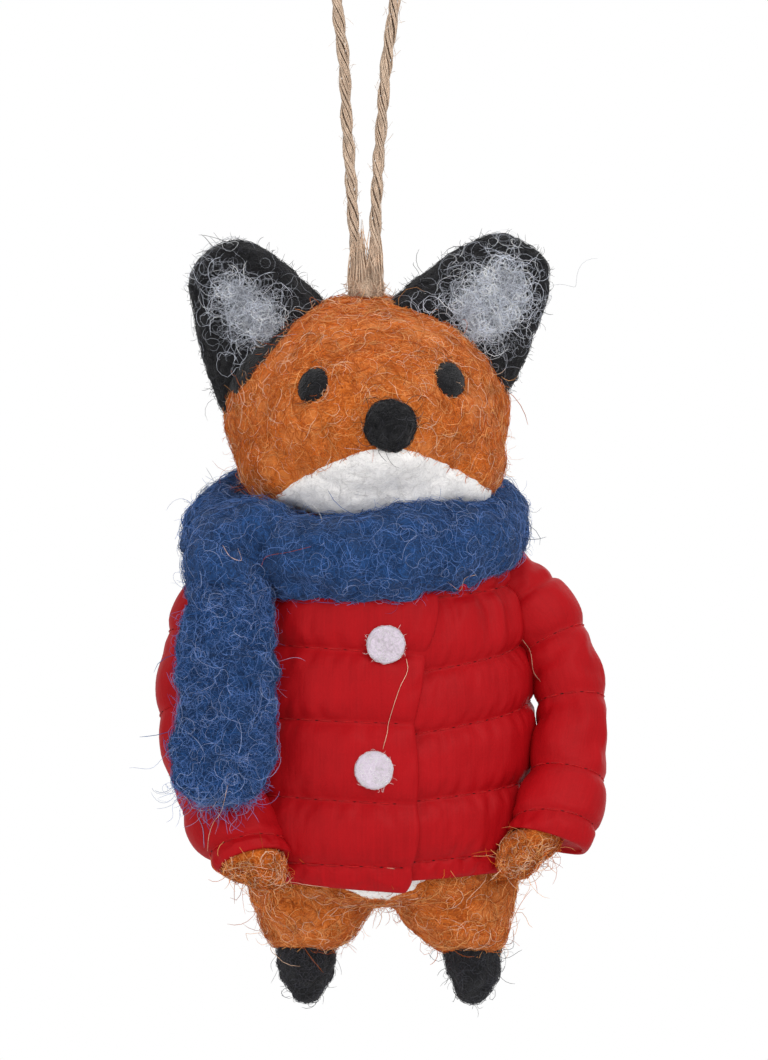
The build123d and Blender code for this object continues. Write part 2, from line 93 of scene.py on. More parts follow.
# Each ear's foot and tip, and its tuft's middle, half size and tilt
EARS = {
    "left": ((14.4, 7.0), (26.4, -8.1), (20.2, 1.4), (4.7, 6.9), 38.0),
    "right": ((-14.8, 8.8), (-24.8, -7.6), (-18.6, 2.9), (2.6, 7.0), -42.0),
}
EAR_HALF = (11.4, 4.8)
EAR_DEPTH = -3.0
TORSO_ACROSS, TORSO_TOP, TORSO_HEIGHT = 2.3, 31.0, 67.0
TORSO_HALF = (22.6, 17.6)
TORSO_SHARES = (
    (0, 0.5, 0.55), (0.1, 0.66, 0.72), (0.22, 0.86, 0.88), (0.36, 0.94, 0.95), (0.52, 0.99, 0.99),
    (0.68, 1, 1), (0.84, 0.985, 0.98), (0.93, 0.93, 0.93), (0.98, 0.78, 0.8), (1, 0.55, 0.58),
)
BELLY_DROP, BELLY_HALF = 80, (13.0, 17.2)
# Fur grows below this drop. The jacket covers the rest.
HEM_DROP = 88
LEG_SHARES = ((0, 0.93, 0), (0.3, 1, 0), (0.5, 0.95, 0.05), (0.76, 0.79, 0.1), (1, 0.49, 1))
LEG_TOP, LEG_LENGTH, LEG_DEPTH = 90, 15.8, -0.5
LEG_HALF = (10.4, 9.6)
FOOT_SHARES = ((-0.25, 0.9), (0, 1), (0.35, 0.94), (0.7, 0.7), (0.92, 0.4), (1, 0.2))
FOOT_TOP, FOOT_LENGTH, FOOT_HALF = 105.8, 8.3, 4.7
# Where each leg starts across, and how far its foot leans out
LEGS = {"left": (14.2, 3.0), "right": (-8.5, -1.2)}
TAIL_SHARES = (
    (0, -0.06, 0.6, 0.8), (0.3, 0, 0.84, 1.15), (0.62, 0.1, 0.98, 1.1), (0.88, 0.3, 1, 1),
    (1, 0.58, 0.9, 0.98), (1.02, 0.82, 0.66, 0.75), (1, 1, 0.3, 0.34),
)
TAIL_HALF = 6.2
TAIL_BACK, TAIL_DROP, TAIL_LENGTH, TAIL_RISE, TAIL_SLANT = 12, 94, 18, 22, 45
# The tail's oval at which its white tip starts, and the one at which its orange wool ends
TIP_FROM, TAIL_TO = 11, 14
# Each arm's shoulder, length, reach to the front and side. Its rows are the bow out, the reach, the drop and the size
ARMS = {
    "left": (
        24.0, 39.3, 13.2, 1,
        (
            (-0.3, 0, -0.17, 0.62), (0.12, 0, 0, 0.93), (0.6, 0.08, 0.17, 0.87), (0.9, 0.28, 0.415, 0.83),
            (0.82, 0.62, 0.72, 0.9), (0.6, 0.92, 0.91, 0.98), (0.48, 1, 0.98, 1.0), (0.22, 1.04, 1.04, 0.8),
            (0.08, 1.05, 1.13, 0.46),
        ),
    ),
    "right": (
        -20.4, 42.0, 17.6, -1,
        (
            (-0.3, 0, -0.15, 0.6), (0.2, 0, 0, 0.9), (0.58, 0.1, 0.16, 0.88), (0.66, 0.32, 0.43, 0.93),
            (0.26, 0.72, 0.76, 0.98), (-0.16, 0.93, 0.94, 0.93), (-0.26, 1, 0.99, 0.91), (-0.4, 1.04, 1.03, 0.66),
            (-0.46, 1.06, 1.08, 0.4),
        ),
    ),
}
SLEEVE_HALF = (7.4, 6.5)
SHOULDER_DROP, ARM_BOW = 49.0, 10.0
# The arm's row at which the sleeve ends
CUFF = 6
# Each paw's width in its sleeve, and how far towards the jacket it sits in the cuff
PAWS = {"left": (0.54, 1.7), "right": (0.74, 0.0)}
LAP_TOP, LAP_FOOT = (11.2, 37.0), (6.3, 94.0)
BUTTON_RADIUS, BUTTON_MIDDLE = 3.05, 0.45
# How far back from the button's middle each oval is, and its share of the radius
BUTTON_RIM = ((1.2, 0.9), (0.6, 1.0), (-0.1, 1.0), (-0.45, 0.97), (-0.62, 0.86), (-0.66, 0.4))
SCARF_HUB, SCARF_HINGE = (-0.9, -0.5, 38.2), (-22.4, -19.4, 50.5)
SCARF_HALF = (21.0, 16.4)
SCARF_BAND = (7.0, 7.3)
SCARF_TILT, SCARF_STEPS = 17, 44
# Where the band starts and how far it goes round, in degrees
SCARF_START, SCARF_TURN = -62, 372
# Where the band turns down into the hanging end: a middle and half sizes
SCARF_FOLD = (((-22.6, -14.6, 43.5), (6.6, 7.4, 9.0)), ((-17.5, -12.5, 38.0), (6.5, 6.5, 5.6)))
SCARF_END_HALF, SCARF_END_LENGTH, SCARF_END_LEAN = (8.5, 3.1), 29.4, 10
SCARF_END_SHARES = (
    (-0.2, 0.62, 0.8), (0, 0.86, 1), (0.3, 0.93, 1.05), (0.6, 0.95, 1.08), (0.86, 0.95, 1.04), (0.96, 0.83, 0.85),
    (1.03, 0.6, 0.5),
)
TWINE_ROUTE = (
    (-1.35, 0, -50.6), (-2, 0.15, -42.5), (-2.5, -0.2, -33.5), (-3.2, 0.1, -24), (-3.5, 0, -15.5), (-4.5, 0.15, -8.5),
    (-4.95, 0, -2), (-2.05, 0, 0.925), (2.05, 0, 0.925), (4.95, 0, -2), (4.3, -0.15, -8.5), (3.2, 0, -15.5),
    (2.6, -0.1, -24), (1.8, 0.2, -33.5), (1.45, -0.1, -42.5), (1.35, 0, -50.6),
)
KNOT, KNOT_RADIUS = (0, 0, -52.9), 2.45
TWINE_HAIRS, ROOT_HAIRS = 240, 420
# The plies turn about each other, and the yarns in each ply, once in this many millimetres
PLY_PITCH, YARN_PITCH, YARNS = 10.5, 14.0, 14

# Felt forms: the size of their grain, the rounds of smoothing, and their lumps as pairs of a size and a depth
FELTS = {
    "knot": (0.35, 2, ((1.4, 0.5), (0.6, 0.2))),
    "head": (0.6, 6, ((9, 0.7), (3, 0.3), (1.3, 0.16))),
    "nose": (0.4, 2, ((3, 0.3), (1.1, 0.14))),
    "ear": (0.55, 4, ((6, 0.6), (2, 0.3), (1, 0.14))),
    "body": (0.8, 6, ((7, 0.8), (2.5, 0.35), (1.2, 0.18))),
    "foot": (0.4, 3, ((3, 0.6), (1.1, 0.25))),
    "tail": (0.5, 3, ((5, 0.6), (2, 0.3))),
    "paw": (0.5, 3, ((4, 0.7), (1.5, 0.3))),
    "button": (0.2, 2, ((1.8, 0.08), (0.7, 0.05))),
    "scarf_wrap": (0.65, 5, ((8, 1.3), (3.2, 0.8), (1.4, 0.3))),
    "scarf_end": (0.6, 4, ((8, 1.6), (3.4, 0.9), (1.4, 0.35))),
}

# Layers of fibres: their family, their number and the shares of its tints, then their mean length, radius and height,
# the turn at each step in radians, the share that stands out, how steeply, and the most steps that a fibre has
LAYERS = {
    "knot_fray": ("jute", 500, (3, 2), 3.0, 0.06, 0.3, 0.5, 0.2, 0.5, 5),
    "eye_wool": ("black", 240, (4, 1), 2.2, 0.035, 0.15, 0.7, 0.1, 1.0, 7),
    "nose_wool": ("black", 750, (6, 1), 3.0, 0.038, 0.25, 0.7, 0.12, 1.0, 5),
    "head_wool": ("orange", 3500, (5, 3, 2, 0.6), 5.0, 0.045, 0.3, 0.7, 0.02, 1.0, 4),
    "head_top_wool": ("orange", 3500, (4, 1, 3, 1.5), 4.2, 0.032, 0.5, 1.0, 0.03, 1.0, 5),
    "head_fuzz": ("orange", 1350, (4, 1, 3, 1.5), 2.2, 0.022, 0.6, 1.0, 1.0, 0.8, 7),
    "muzzle_wool": ("white", 1350, (3, 1), 4.0, 0.027, 0.1, 0.6, 0.03, 0.6, 5),
    "muzzle_edge_wool": ("orange", 420, (5, 3, 2, 0.6), 2.4, 0.034, 0.3, 0.7, 0.05, 1.0, 7),
    "ear_root_wool": ("black", 450, (8, 1), 3.5, 0.036, 0.3, 0.8, 0.04, 0.8, 5),
    "ear_wool": ("black", 1500, (8, 1), 4.0, 0.038, 0.3, 0.8, 0.04, 0.8, 5),
    "ear_fuzz": ("black", 1050, (8, 1), 1.3, 0.028, 0.3, 0.5, 1.0, 1.4, 4),
    "left_ear_locks": ("grey", 1200, (5, 4, 2), 6.0, 0.034, 1.2, 0.95, 0.02, 1.0, 9),
    "right_ear_locks": ("grey", 870, (5, 4, 6), 6.0, 0.034, 1.2, 0.95, 0.02, 1.0, 9),
    "left_ear_curls": ("grey", 210, (2, 1, 5), 9.0, 0.028, 0.8, 0.75, 0.03, 1.0, 14),
    "right_ear_curls": ("grey", 150, (2, 1, 9), 9.0, 0.028, 0.8, 0.75, 0.03, 1.0, 14),
    "body_wool": ("orange", 2800, (4, 2, 3, 1.5), 5.0, 0.042, 0.5, 0.9, 0.05, 1.0, 5),
    "body_fuzz": ("orange", 850, (3, 1, 3, 1), 2.6, 0.024, 0.8, 1.0, 1.0, 0.8, 7),
    "foot_wool": ("black", 750, (1, 9), 3.0, 0.036, 0.4, 1.0, 0.12, 0.8, 5),
    "tail_wool": ("orange", 1150, (4, 3, 3, 2), 4.5, 0.04, 0.5, 0.7, 0.2, 0.8, 5),
    "tail_tip_wool": ("white", 600, (3, 1), 4.5, 0.04, 0.5, 0.7, 0.2, 0.8, 5),
    "paw_wool": ("orange", 1200, (4, 2, 3, 1.5), 4.5, 0.04, 0.7, 1.0, 0.12, 0.7, 5),
    "button_wool": ("felt", 600, (3, 1), 1.0, 0.022, 0.1, 0.7, 0.12, 0.3, 5),
    "scarf_wrap_wool": ("blue", 3500, (5, 3, 3, 0), 5.0, 0.045, 0.6, 0.9, 0.02, 1.0, 4),
    "scarf_wrap_top_wool": ("blue", 3360, (3, 5, 2, 0), 4.5, 0.029, 0.9, 1.1, 0.02, 1.0, 5),
    "scarf_wrap_curls": ("blue", 1050, (0, 4, 0, 3), 8.0, 0.026, 1.1, 0.75, 0.04, 1.0, 11),
    "scarf_wrap_fuzz": ("blue", 1400, (2, 5, 1, 1), 2.4, 0.022, 0.8, 1.1, 1.0, 0.7, 7),
    "scarf_end_wool": ("blue", 1958, (5, 3, 3, 0), 5.0, 0.045, 0.6, 0.9, 0.02, 1.0, 4),
    "scarf_end_top_wool": ("blue", 1880, (3, 5, 2, 0), 4.5, 0.029, 0.9, 1.1, 0.02, 1.0, 5),
    "scarf_end_curls": ("blue", 587, (0, 4, 0, 3), 8.0, 0.026, 1.1, 0.75, 0.04, 1.0, 11),
    "scarf_end_fuzz": ("blue", 783, (2, 5, 1, 1), 2.4, 0.022, 0.8, 1.1, 1.0, 0.7, 7),
    "scarf_end_wisps": ("blue", 320, (3, 4, 0, 2), 4.5, 0.026, 0.5, 0.8, 1.0, 0.5, 9),
}


def spot(across, depth, drop):
    """The point that far across, back and down from the crown."""
    return Vector((across, depth + MIDDLE, CROWN - drop)) * MM


def linear(code):
    """A hex colour as linear values."""
    shares = [int(code[i : i + 2], 16) / 255 for i in (1, 3, 5)]
    return [v / 12.92 if v <= 0.04045 else ((v + 0.055) / 1.055) ** 2.4 for v in shares]


def smooth_rows(rows, steps):
    """Rows of numbers on a smooth curve through the given ones, that many for each."""
    rows = [np.array(row, float) for row in rows]
    rows = [2 * rows[0] - rows[1], *rows, 2 * rows[-1] - rows[-2]]
    made = []
    for a, b, c, d in zip(rows, rows[1:], rows[2:], rows[3:]):
        for step in range(steps):
            t = step / steps
            square, cube = 2 * a - 5 * b + 4 * c - d, 3 * b - a - 3 * c + d
            made.append(0.5 * (2 * b + (c - a) * t + square * t**2 + cube * t**3))
    return [*made, rows[-2]]


def fade(value, low, high):
    """0 below low, 1 above high and smooth between them."""
    t = min(max((value - low) / (high - low), 0), 1)
    return t * t * (3 - 2 * t)


# Mesh helpers


def linked(name, data):
    """A new object in the scene."""
    obj = bpy.data.objects.new(name, data)
    bpy.context.scene.collection.objects.link(obj)
    return obj


def shaped(name, bm):
    """A new object that has the bmesh as its mesh."""
    mesh = bpy.data.meshes.new(name)
    bm.to_mesh(mesh)
    bm.free()
    return linked(name, mesh)


def final_mesh(obj):
    """An object's mesh with its modifiers or its bevel worked out."""
    bpy.context.view_layer.update()
    return bpy.data.meshes.new_from_object(obj.evaluated_get(bpy.context.evaluated_depsgraph_get()))


def ring(centre, x_axis, y_axis, half_x, half_y):
    """The matrix that makes a unit circle one oval of a form. Sizes are in millimetres."""
    turn = Matrix((x_axis * half_x * MM, y_axis * half_y * MM, x_axis.cross(y_axis) * MM)).transposed().to_4x4()
    turn.translation = centre
    return turn


def stack(start, end, x_axis, y_axis, halves, rows, steps):
    """Ovals along the line from start to end. Each row is a place on it and a width and a depth, as shares."""
    return [
        ring(start.lerp(end, row[0]), x_axis, y_axis, halves[0] * row[1], halves[1] * row[-1])
        for row in smooth_rows(rows, steps)
    ]


def loft(bm, rings, sides):
    """Skins the rings one after another, closes both ends and gives each ring's vertices."""
    made = bmesh.ops.create_circle(bm, cap_ends=False, segments=sides, radius=1, matrix=rings[0])
    rows = [list(made["verts"])]
    edges = list(bm.edges)[-sides:]
    rims = [edges]
    for last, here in zip(rings, rings[1:]):
        made = bmesh.ops.extrude_edge_only(bm, edges=edges)["geom"]
        fresh = {g for g in made if isinstance(g, bmesh.types.BMVert)}
        edges = [g for g in made if isinstance(g, bmesh.types.BMEdge) and fresh.issuperset(g.verts)]
        bmesh.ops.transform(bm, matrix=here @ last.inverted(), verts=list(fresh))
        rows.append([vert for vert in made if vert in fresh])
    rims.append(edges)
    for rim in rims:
        bmesh.ops.contextual_create(bm, geom=rim)
    bmesh.ops.recalc_face_normals(bm, faces=bm.faces)
    return rows


def lofted(rings, sides):
    """A new bmesh with the form over the rings."""
    bm = bmesh.new()
    loft(bm, rings, sides)
    return bm


def ball(bm, centre, radius=1.0, halves=(1, 1, 1), detail=4):
    """Adds a ball or an egg. Sizes are in millimetres."""
    shape = Matrix.Translation(centre) @ Matrix.Diagonal((*halves, 1))
    bmesh.ops.create_icosphere(bm, subdivisions=detail, radius=radius * MM, matrix=shape)
    return bm


def dress(obj, family, nodes=(), body="fox"):
    """Gives a piece its material and ties it to the frame."""
    cover, slot, _ = stuff(family)
    obj.data.materials.clear()
    obj.data.materials.append(cover)
    return tie(obj, body, nodes)


def tie(obj, body, nodes=()):
    """Lets a piece ride on its body and in place of its nodes."""
    obj.data.shade_smooth()
    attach(obj, body)
    if nodes:
        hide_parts(*nodes)
    return obj


def refine(obj, name="finer"):
    """Rounds a mesh off by one level."""
    finer = obj.modifiers.new(name, "SUBSURF")
    finer.levels = finer.render_levels = 1


def matted(name, bm, kind, seed, family, nodes, body="fox"):
    """One closed wool form out of the closed forms in the bmesh, uneven as hand-needled wool is."""
    grain, relax, lumps = FELTS[kind]
    obj = shaped(name, bm)
    refine(obj, "round")
    mat = obj.modifiers.new("mat", "REMESH")
    mat.mode = "VOXEL"
    mat.voxel_size = grain * MM
    even = obj.modifiers.new("relax", "SMOOTH")
    even.factor = 0.5
    even.iterations = relax
    mesh = final_mesh(obj)
    obj.modifiers.clear()
    obj.data = mesh
    offset = Vector((seed * 7.3, seed * 3.1, seed * 5.7))
    normals = [vert.normal.copy() for vert in mesh.vertices]
    for vert, normal in zip(mesh.vertices, normals):
        place = vert.co / MM
        for size, depth in lumps:
            vert.co += normal * (depth * MM * noise(place / size + offset))
    mesh.update()
    return dress(obj, family, nodes, body)


def oval_field(across, drop, halves, scale, tilt=0.0, depth=0.0):
    """A field for an oval on the front, in millimetres inside its edge."""
    lean = radians(tilt)

    def field(place):
        if place.y > MIDDLE + depth:
            return -3
        x, z = place.x - across, CROWN - place.z - drop
        a = (x * cos(lean) + z * sin(lean)) / halves[0]
        b = (-x * sin(lean) + z * cos(lean)) / halves[1]
        return (1 - hypot(a, b)) * scale

    return field


def patch(name, base, field, depths, seed, family, nodes=()):
    """A layer of wool laid on a piece where the field is above 0.

    depths are its thickness, the width of its rim and how wavy its edge is, in millimetres."""
    thickness, rim, wave = depths
    bm = bmesh.new()
    bm.from_mesh(base.data)
    offset = Vector((seed * 5.1, seed * 2.3, seed * 8.9))
    inside = {}
    for vert in bm.verts:
        place = vert.co / MM
        inside[vert] = field(place) + wave * noise(place / 1.6 + offset)
    outside = [face for face in bm.faces if all(inside[vert] < -0.9 for vert in face.verts)]
    normals = {vert: vert.normal.copy() for vert in bm.verts}
    sunk = 0.35
    for vert, depth in inside.items():
        vert.co += normals[vert] * (-sunk + (thickness + sunk) * fade(depth, -0.4, rim)) * MM
    bmesh.ops.delete(bm, geom=outside, context="FACES")
    bmesh.ops.solidify(bm, geom=list(bm.faces), thickness=0.5 * MM)
    bmesh.ops.recalc_face_normals(bm, faces=bm.faces)
    return dress(shaped(name, bm), family, nodes)


def skin(obj):
    """A piece's points and triangles, and a tree for finding places on it."""
    mesh = obj.data
    mesh.calc_loop_triangles()
    points = np.empty(len(mesh.vertices) * 3)
    mesh.vertices.foreach_get("co", points)
    points = points.reshape(-1, 3)
    corners = np.empty(len(mesh.loop_triangles) * 3, np.int32)
    mesh.loop_triangles.foreach_get("vertices", corners)
    corners = corners.reshape(-1, 3)
    return points, corners, BVHTree.FromPolygons(points.tolist(), corners.tolist())


def starts(points, corners, count, rng, where):
    """Random points on the triangles, evenly spread over those that where allows."""
    a, b, c = (points[corners[:, i]] for i in range(3))
    areas = np.linalg.norm(np.cross(b - a, c - a), axis=1)
    if where is not None:
        middles = (a + b + c) / (3 * MM)
        areas = areas * np.array([where(Vector(m)) for m in middles], float)
    chosen = rng.choice(len(corners), size=count, p=areas / areas.sum())
    u, v = rng.random(count), rng.random(count)
    flip = u + v > 1
    u, v = np.where(flip, 1 - u, u), np.where(flip, 1 - v, v)
    return a[chosen] + (b - a)[chosen] * u[:, None] + (c - a)[chosen] * v[:, None]


def thread_section():
    """The three-sided section of a fibre, one metre round its middle, scaled by each point's radius."""
    found = bpy.data.objects.get("thread_section")
    if found:
        return found
    curve = bpy.data.curves.new("thread_section", "CURVE")
    line = curve.splines.new("POLY")
    line.points.add(2)
    for turn, point in enumerate(line.points):
        angle = tau * turn / 3
        point.co = (cos(angle), sin(angle), 0, 1)
    line.use_cyclic_u = True
    made = linked("thread_section", curve)
    made.hide_render = True
    return made


def threads(name, lines, radii, tints, tones, body, nodes=()):
    """Thin tubes along many lines, each in one of the tints. A line is a list of points in metres."""
    curve = bpy.data.curves.new(name, "CURVE")
    curve.dimensions = "3D"
    curve.bevel_mode = "OBJECT"
    curve.bevel_object = thread_section()
    curve.use_fill_caps = True
    for tint in tints:
        curve.materials.append(tint)
    for line, radius, tone in zip(lines, radii, tones):
        spline = curve.splines.new("POLY")
        spline.points.add(len(line) - 1)
        spline.points.foreach_set("co", [x for p in line for x in (*p, 1.0)])
        ends = [1.0] * len(line)
        ends[0] = ends[-1] = 0.45
        spline.points.foreach_set("radius", [radius * MM * end for end in ends])
        spline.material_index = int(tone)
    obj = linked(name, curve)
    mesh = final_mesh(obj)
    bpy.data.objects.remove(obj)
    bpy.data.curves.remove(curve)
    return tie(linked(name, mesh), body, nodes)


def fibres(name, base, seed, kind=None, where=None, comb=None, body="fox"):
    """Loose wool fibres that wander over a piece. Some leave it and stand out as fuzz.

    kind is the layer, if it isn't the name, and comb gives a direction that the fibres favour."""
    family, count, shares, length, radius, height, curl, stray, reach, most = LAYERS[kind or name]
    _, slot, tints = stuff(family)
    rng = np.random.default_rng(seed)
    points, corners, tree = skin(base)
    lines, radii = [], []
    for start in starts(points, corners, count, rng, where):
        here, normal, _, _ = tree.find_nearest(Vector(start))
        heading = Vector(rng.normal(size=3))
        if comb is not None:
            heading += comb
        heading = (heading - normal * heading.dot(normal)).normalized()
        total = length * rng.uniform(0.45, 1.55)
        steps = int(max(4, min(most, round(total / 0.6))))
        stride = total * MM / steps
        lift = height * rng.uniform(-0.2, 1.0)
        leaves = rng.random() < stray
        bend = rng.choice((-1, 1)) * rng.uniform(0.25, 1.25) * curl
        axis = Vector(rng.normal(size=3)).normalized()
        if leaves:
            heading = (heading + normal * reach * rng.uniform(0.3, 1.0)).normalized()
        line = []
        for step in range(steps + 1):
            if leaves:
                line.append(here + normal * (-0.05 * MM if step == 0 else 0))
                heading = Matrix.Rotation(bend, 3, axis) @ heading
                here = here + heading * stride
                continue
            found, normal, _, _ = tree.find_nearest(here)
            line.append(found + normal * (lift * sin(pi * (step / steps)) + 0.02) * MM)
            if rng.random() < 0.12:
                bend = -bend
            heading = Matrix.Rotation(bend + rng.normal() * 0.12, 3, normal) @ heading
            heading = (heading - normal * heading.dot(normal)).normalized()
            here = found + heading * stride
        lines.append(line)
        radii.append(radius * rng.uniform(0.65, 1.35))
    tones = rng.choice(len(tints), size=len(lines), p=np.array(shares) / sum(shares))
    return threads(name, lines, radii, tints, tones, body)


# Materials


def add(tree, kind, inputs=None, out=0, stops=(), **settings):
    """Adds a node with its settings, its values or links by socket, and a ramp's stops of place and colour.

    Gives one of its outputs."""
    node = tree.nodes.new("ShaderNode" + kind)
    for key, value in settings.items():
        setattr(node, key, value)
    for key, value in (inputs or {}).items():
        if isinstance(value, bpy.types.NodeSocket):
            tree.links.new(value, node.inputs[key])
        else:
            node.inputs[key].default_value = value
    if stops:
        bands = node.color_ramp.elements
        while len(bands) < len(stops):
            bands.new(0.5)
        for element, (place, tone) in zip(bands, stops):
            element.position, element.color = place, (*tone, 1)
    return node.outputs[out] if node.outputs else None


def emptied(owner):
    """Clears the nodes of a material or a world. Gives it with the function that adds one to it."""
    owner.use_nodes = True
    owner.node_tree.nodes.clear()
    return owner, partial(add, owner.node_tree)


def close(node, colour, height=None, bump=0.0, **sockets):
    """The closing shader of a material. The bump is in millimetres."""
    inputs = {"Base Color": colour, **{key.replace("_", " "): value for key, value in sockets.items()}}
    if height is not None:
        inputs["Normal"] = node("Bump", {"Height": height, "Distance": bump * MM, "Strength": 1.0})
    node("OutputMaterial", {"Surface": node("BsdfPrincipled", inputs)})


def streaks(node, place, turn, width, run, detail=1.0):
    """Noise drawn out one way, as fibres lying side by side. Width and run are in millimetres."""
    stretch = (run * MM, width * MM, width * MM)
    turned = node("Mapping", {"Vector": place, "Rotation": turn, "Scale": stretch}, vector_type="TEXTURE")
    return node("TexNoise", {"Vector": turned, "Scale": 1.0, "Detail": detail, "Roughness": 0.6})


def mixture(node, level, *parts):
    """A level and patterns, each times its share, added up."""
    for pattern, share in parts:
        level = node("Math", {0: pattern, 1: share, 2: level}, operation="MULTIPLY_ADD")
    return level


def wool(name, dark, mid, light, blotches=None, width=0.28, bump=0.35, sheen=0.08, contrast=0.2):
    """Needle-felted wool: matt fibres that lie every way, with painted shade between them and a soft pale bloom."""
    made, node = emptied(bpy.data.materials.new(name))
    place = node("TexCoord", out="Object")
    swirl_size = 9 * MM
    swirl = node("TexNoise", {"Vector": place, "Scale": 1 / swirl_size, "Detail": 1.0}, "Color")
    swirl = node("VectorMath", {0: swirl, 1: (0.5, 0.5, 0.5)}, operation="SUBTRACT")
    swirl = node("VectorMath", {0: swirl, "Scale": swirl_size}, operation="SCALE")
    bent = node("VectorMath", {0: place, 1: swirl}, operation="ADD")
    over = streaks(node, bent, (0.3, 0.4, 0.2), width, 3.2)
    for turn, thick, run in (((0.5, 1.1, 1.9), width, 3.0), ((1.2, 0.2, 2.6), width * 0.8, 2.6)):
        over = node("Math", {0: over, 1: streaks(node, bent, turn, thick, run)}, operation="MAXIMUM")
    # The dark stop is painted shade in the gaps between the fibres; the other stops are the wool's own colours.
    tones = ((0.5 - contrast * 0.5, dark), (0.6, mid), (0.72 + contrast * 0.3, light))
    colour = node("ValToRGB", {"Fac": over}, stops=tones)
    if blotches is not None:
        share = node("TexNoise", {"Vector": place, "Scale": 1 / (7 * MM), "Detail": 2.0})
        share = node("MapRange", {"Value": share, "From Min": 0.5, "From Max": 0.68, "To Max": 0.6})
        colour = node("Mix", {"Factor": share, "A": colour, "B": (*blotches, 1)}, "Result", data_type="RGBA")
    close(node, colour, over, bump, Roughness=0.95, Specular_IOR_Level=0.15, Sheen_Weight=sheen, Sheen_Roughness=0.6)
    return made


def fibre(name, colour, sheen=0.05):
    """A single strand of combed wool: soft, a little lighter where it catches the light."""
    made, node = emptied(bpy.data.materials.new(name))
    place = node("TexCoord", out="Object")
    tone = node("TexNoise", {"Vector": place, "Scale": 1 / (2.5 * MM), "Detail": 1.0})
    colour = node("ValToRGB", {"Fac": tone}, stops=((0.3, shade(colour, 0.75)), (0.7, shade(colour, 1.2))))
    close(node, colour, Roughness=0.8, Specular_IOR_Level=0.12, Sheen_Weight=sheen, Sheen_Roughness=0.5)
    return made


def quilted_cotton(name, dark, mid, light):
    """Thin plain-woven cotton lining cloth: a soft sheen, faint upright threads and small creases."""
    made, node = emptied(bpy.data.materials.new(name))
    place = node("TexCoord", out="Object")
    cloth = node("Attribute", out="Vector", attribute_name="weave")
    # Threads lie 0.15 mm apart. They are drawn 0.34 mm apart, which is as fine as the picture shows.
    warp = streaks(node, cloth, (0, 0, 0), 0.34, 6.0)
    weft = streaks(node, cloth, (0, 0, pi / 2), 0.34, 14.0)
    thread = mixture(node, 0.0, (warp, 0.25), (weft, 0.75))
    cloud = node("TexNoise", {"Vector": place, "Scale": 1 / (6 * MM), "Detail": 3.0})
    tone = mixture(node, 0.32, (cloud, 0.35), (thread, 0.3))
    colour = node("ValToRGB", {"Fac": tone}, stops=((0.45, dark), (0.64, mid), (0.85, light)))
    crease = node("TexNoise", {"Vector": place, "Scale": 1 / (2.4 * MM), "Detail": 3.0})
    height = mixture(node, 0.0, (thread, 0.18), (crease, 0.7))
    close(node, colour, height, 0.25, Roughness=0.55, Specular_IOR_Level=0.1)
    return made


def jute(name, dark, mid, light):
    """Two-ply jute: dry, stiff plant fibres with light and dark strands and a dull surface."""
    made, node = emptied(bpy.data.materials.new(name))
    strand = streaks(node, node("TexCoord", out="Object"), (0, -pi / 2, 0), 0.22, 2.4, 2.0)
    colour = node("ValToRGB", {"Fac": strand}, stops=((0.34, dark), (0.5, mid), (0.66, light)))
    close(node, colour, strand, 0.15, Roughness=0.85, Specular_IOR_Level=0.25, Sheen_Weight=0.1)
    return made


# Sizes and colours that a user would change


def size_property(name, default, text):
    """A length property with its default in millimetres."""
    return bpy.props.FloatProperty(name=name, description=text, default=default * MM, unit="LENGTH", precision=5)


def colour_property(name, code, text):
    """A colour property with its default as hex."""
    return bpy.props.FloatVectorProperty(
        name=name, description=text, default=linear(code), subtype="COLOR", min=0, max=1
    )


class FoxSizes(bpy.types.PropertyGroup):
    """Sizes of the quilting and the twine."""

    puff: size_property("Puff", 0.95, "How far the quilting rises between its seams")
    stitch: size_property("Stitch", 2.3, "Length of one running stitch")
    twine_diameter: size_property("Twine", 1.85, "Diameter of the hanging twine")


class FoxColours(bpy.types.PropertyGroup):
    """Colours of the wool, the cloth and the twine."""

    orange: colour_property("Orange wool", "#D26B1D", "Fur of the fox")
    rust: colour_property("Rust wool", "#B04E10", "Darker fibres in the fur")
    tan: colour_property("Tan wool", "#EDA766", "Pale fibres in the fur")
    black: colour_property("Black wool", "#131316", "Ears, eyes, nose and feet")
    white: colour_property("White wool", "#F7F4F2", "Muzzle, belly and tail tip")
    grey: colour_property("Pale grey wool", "#D9DEEA", "Tufts in the ears")
    red: colour_property("Red cotton", "#A40B13", "Jacket")
    thread: colour_property("Red thread", "#BC1015", "Stitches of the jacket")
    blue: colour_property("Blue felt", "#2B5590", "Scarf")
    lilac: colour_property("White felt", "#D4C7D5", "Buttons")
    jute: colour_property("Jute", "#CDB49D", "Hanging twine")


def shade(colour, factor):
    """A colour made darker or lighter."""
    return [min(1.0, c * factor) for c in colour]


def towards(colour, other, share):
    """A colour mixed with another."""
    return [a + (b - a) * share for a, b in zip(colour, other)]


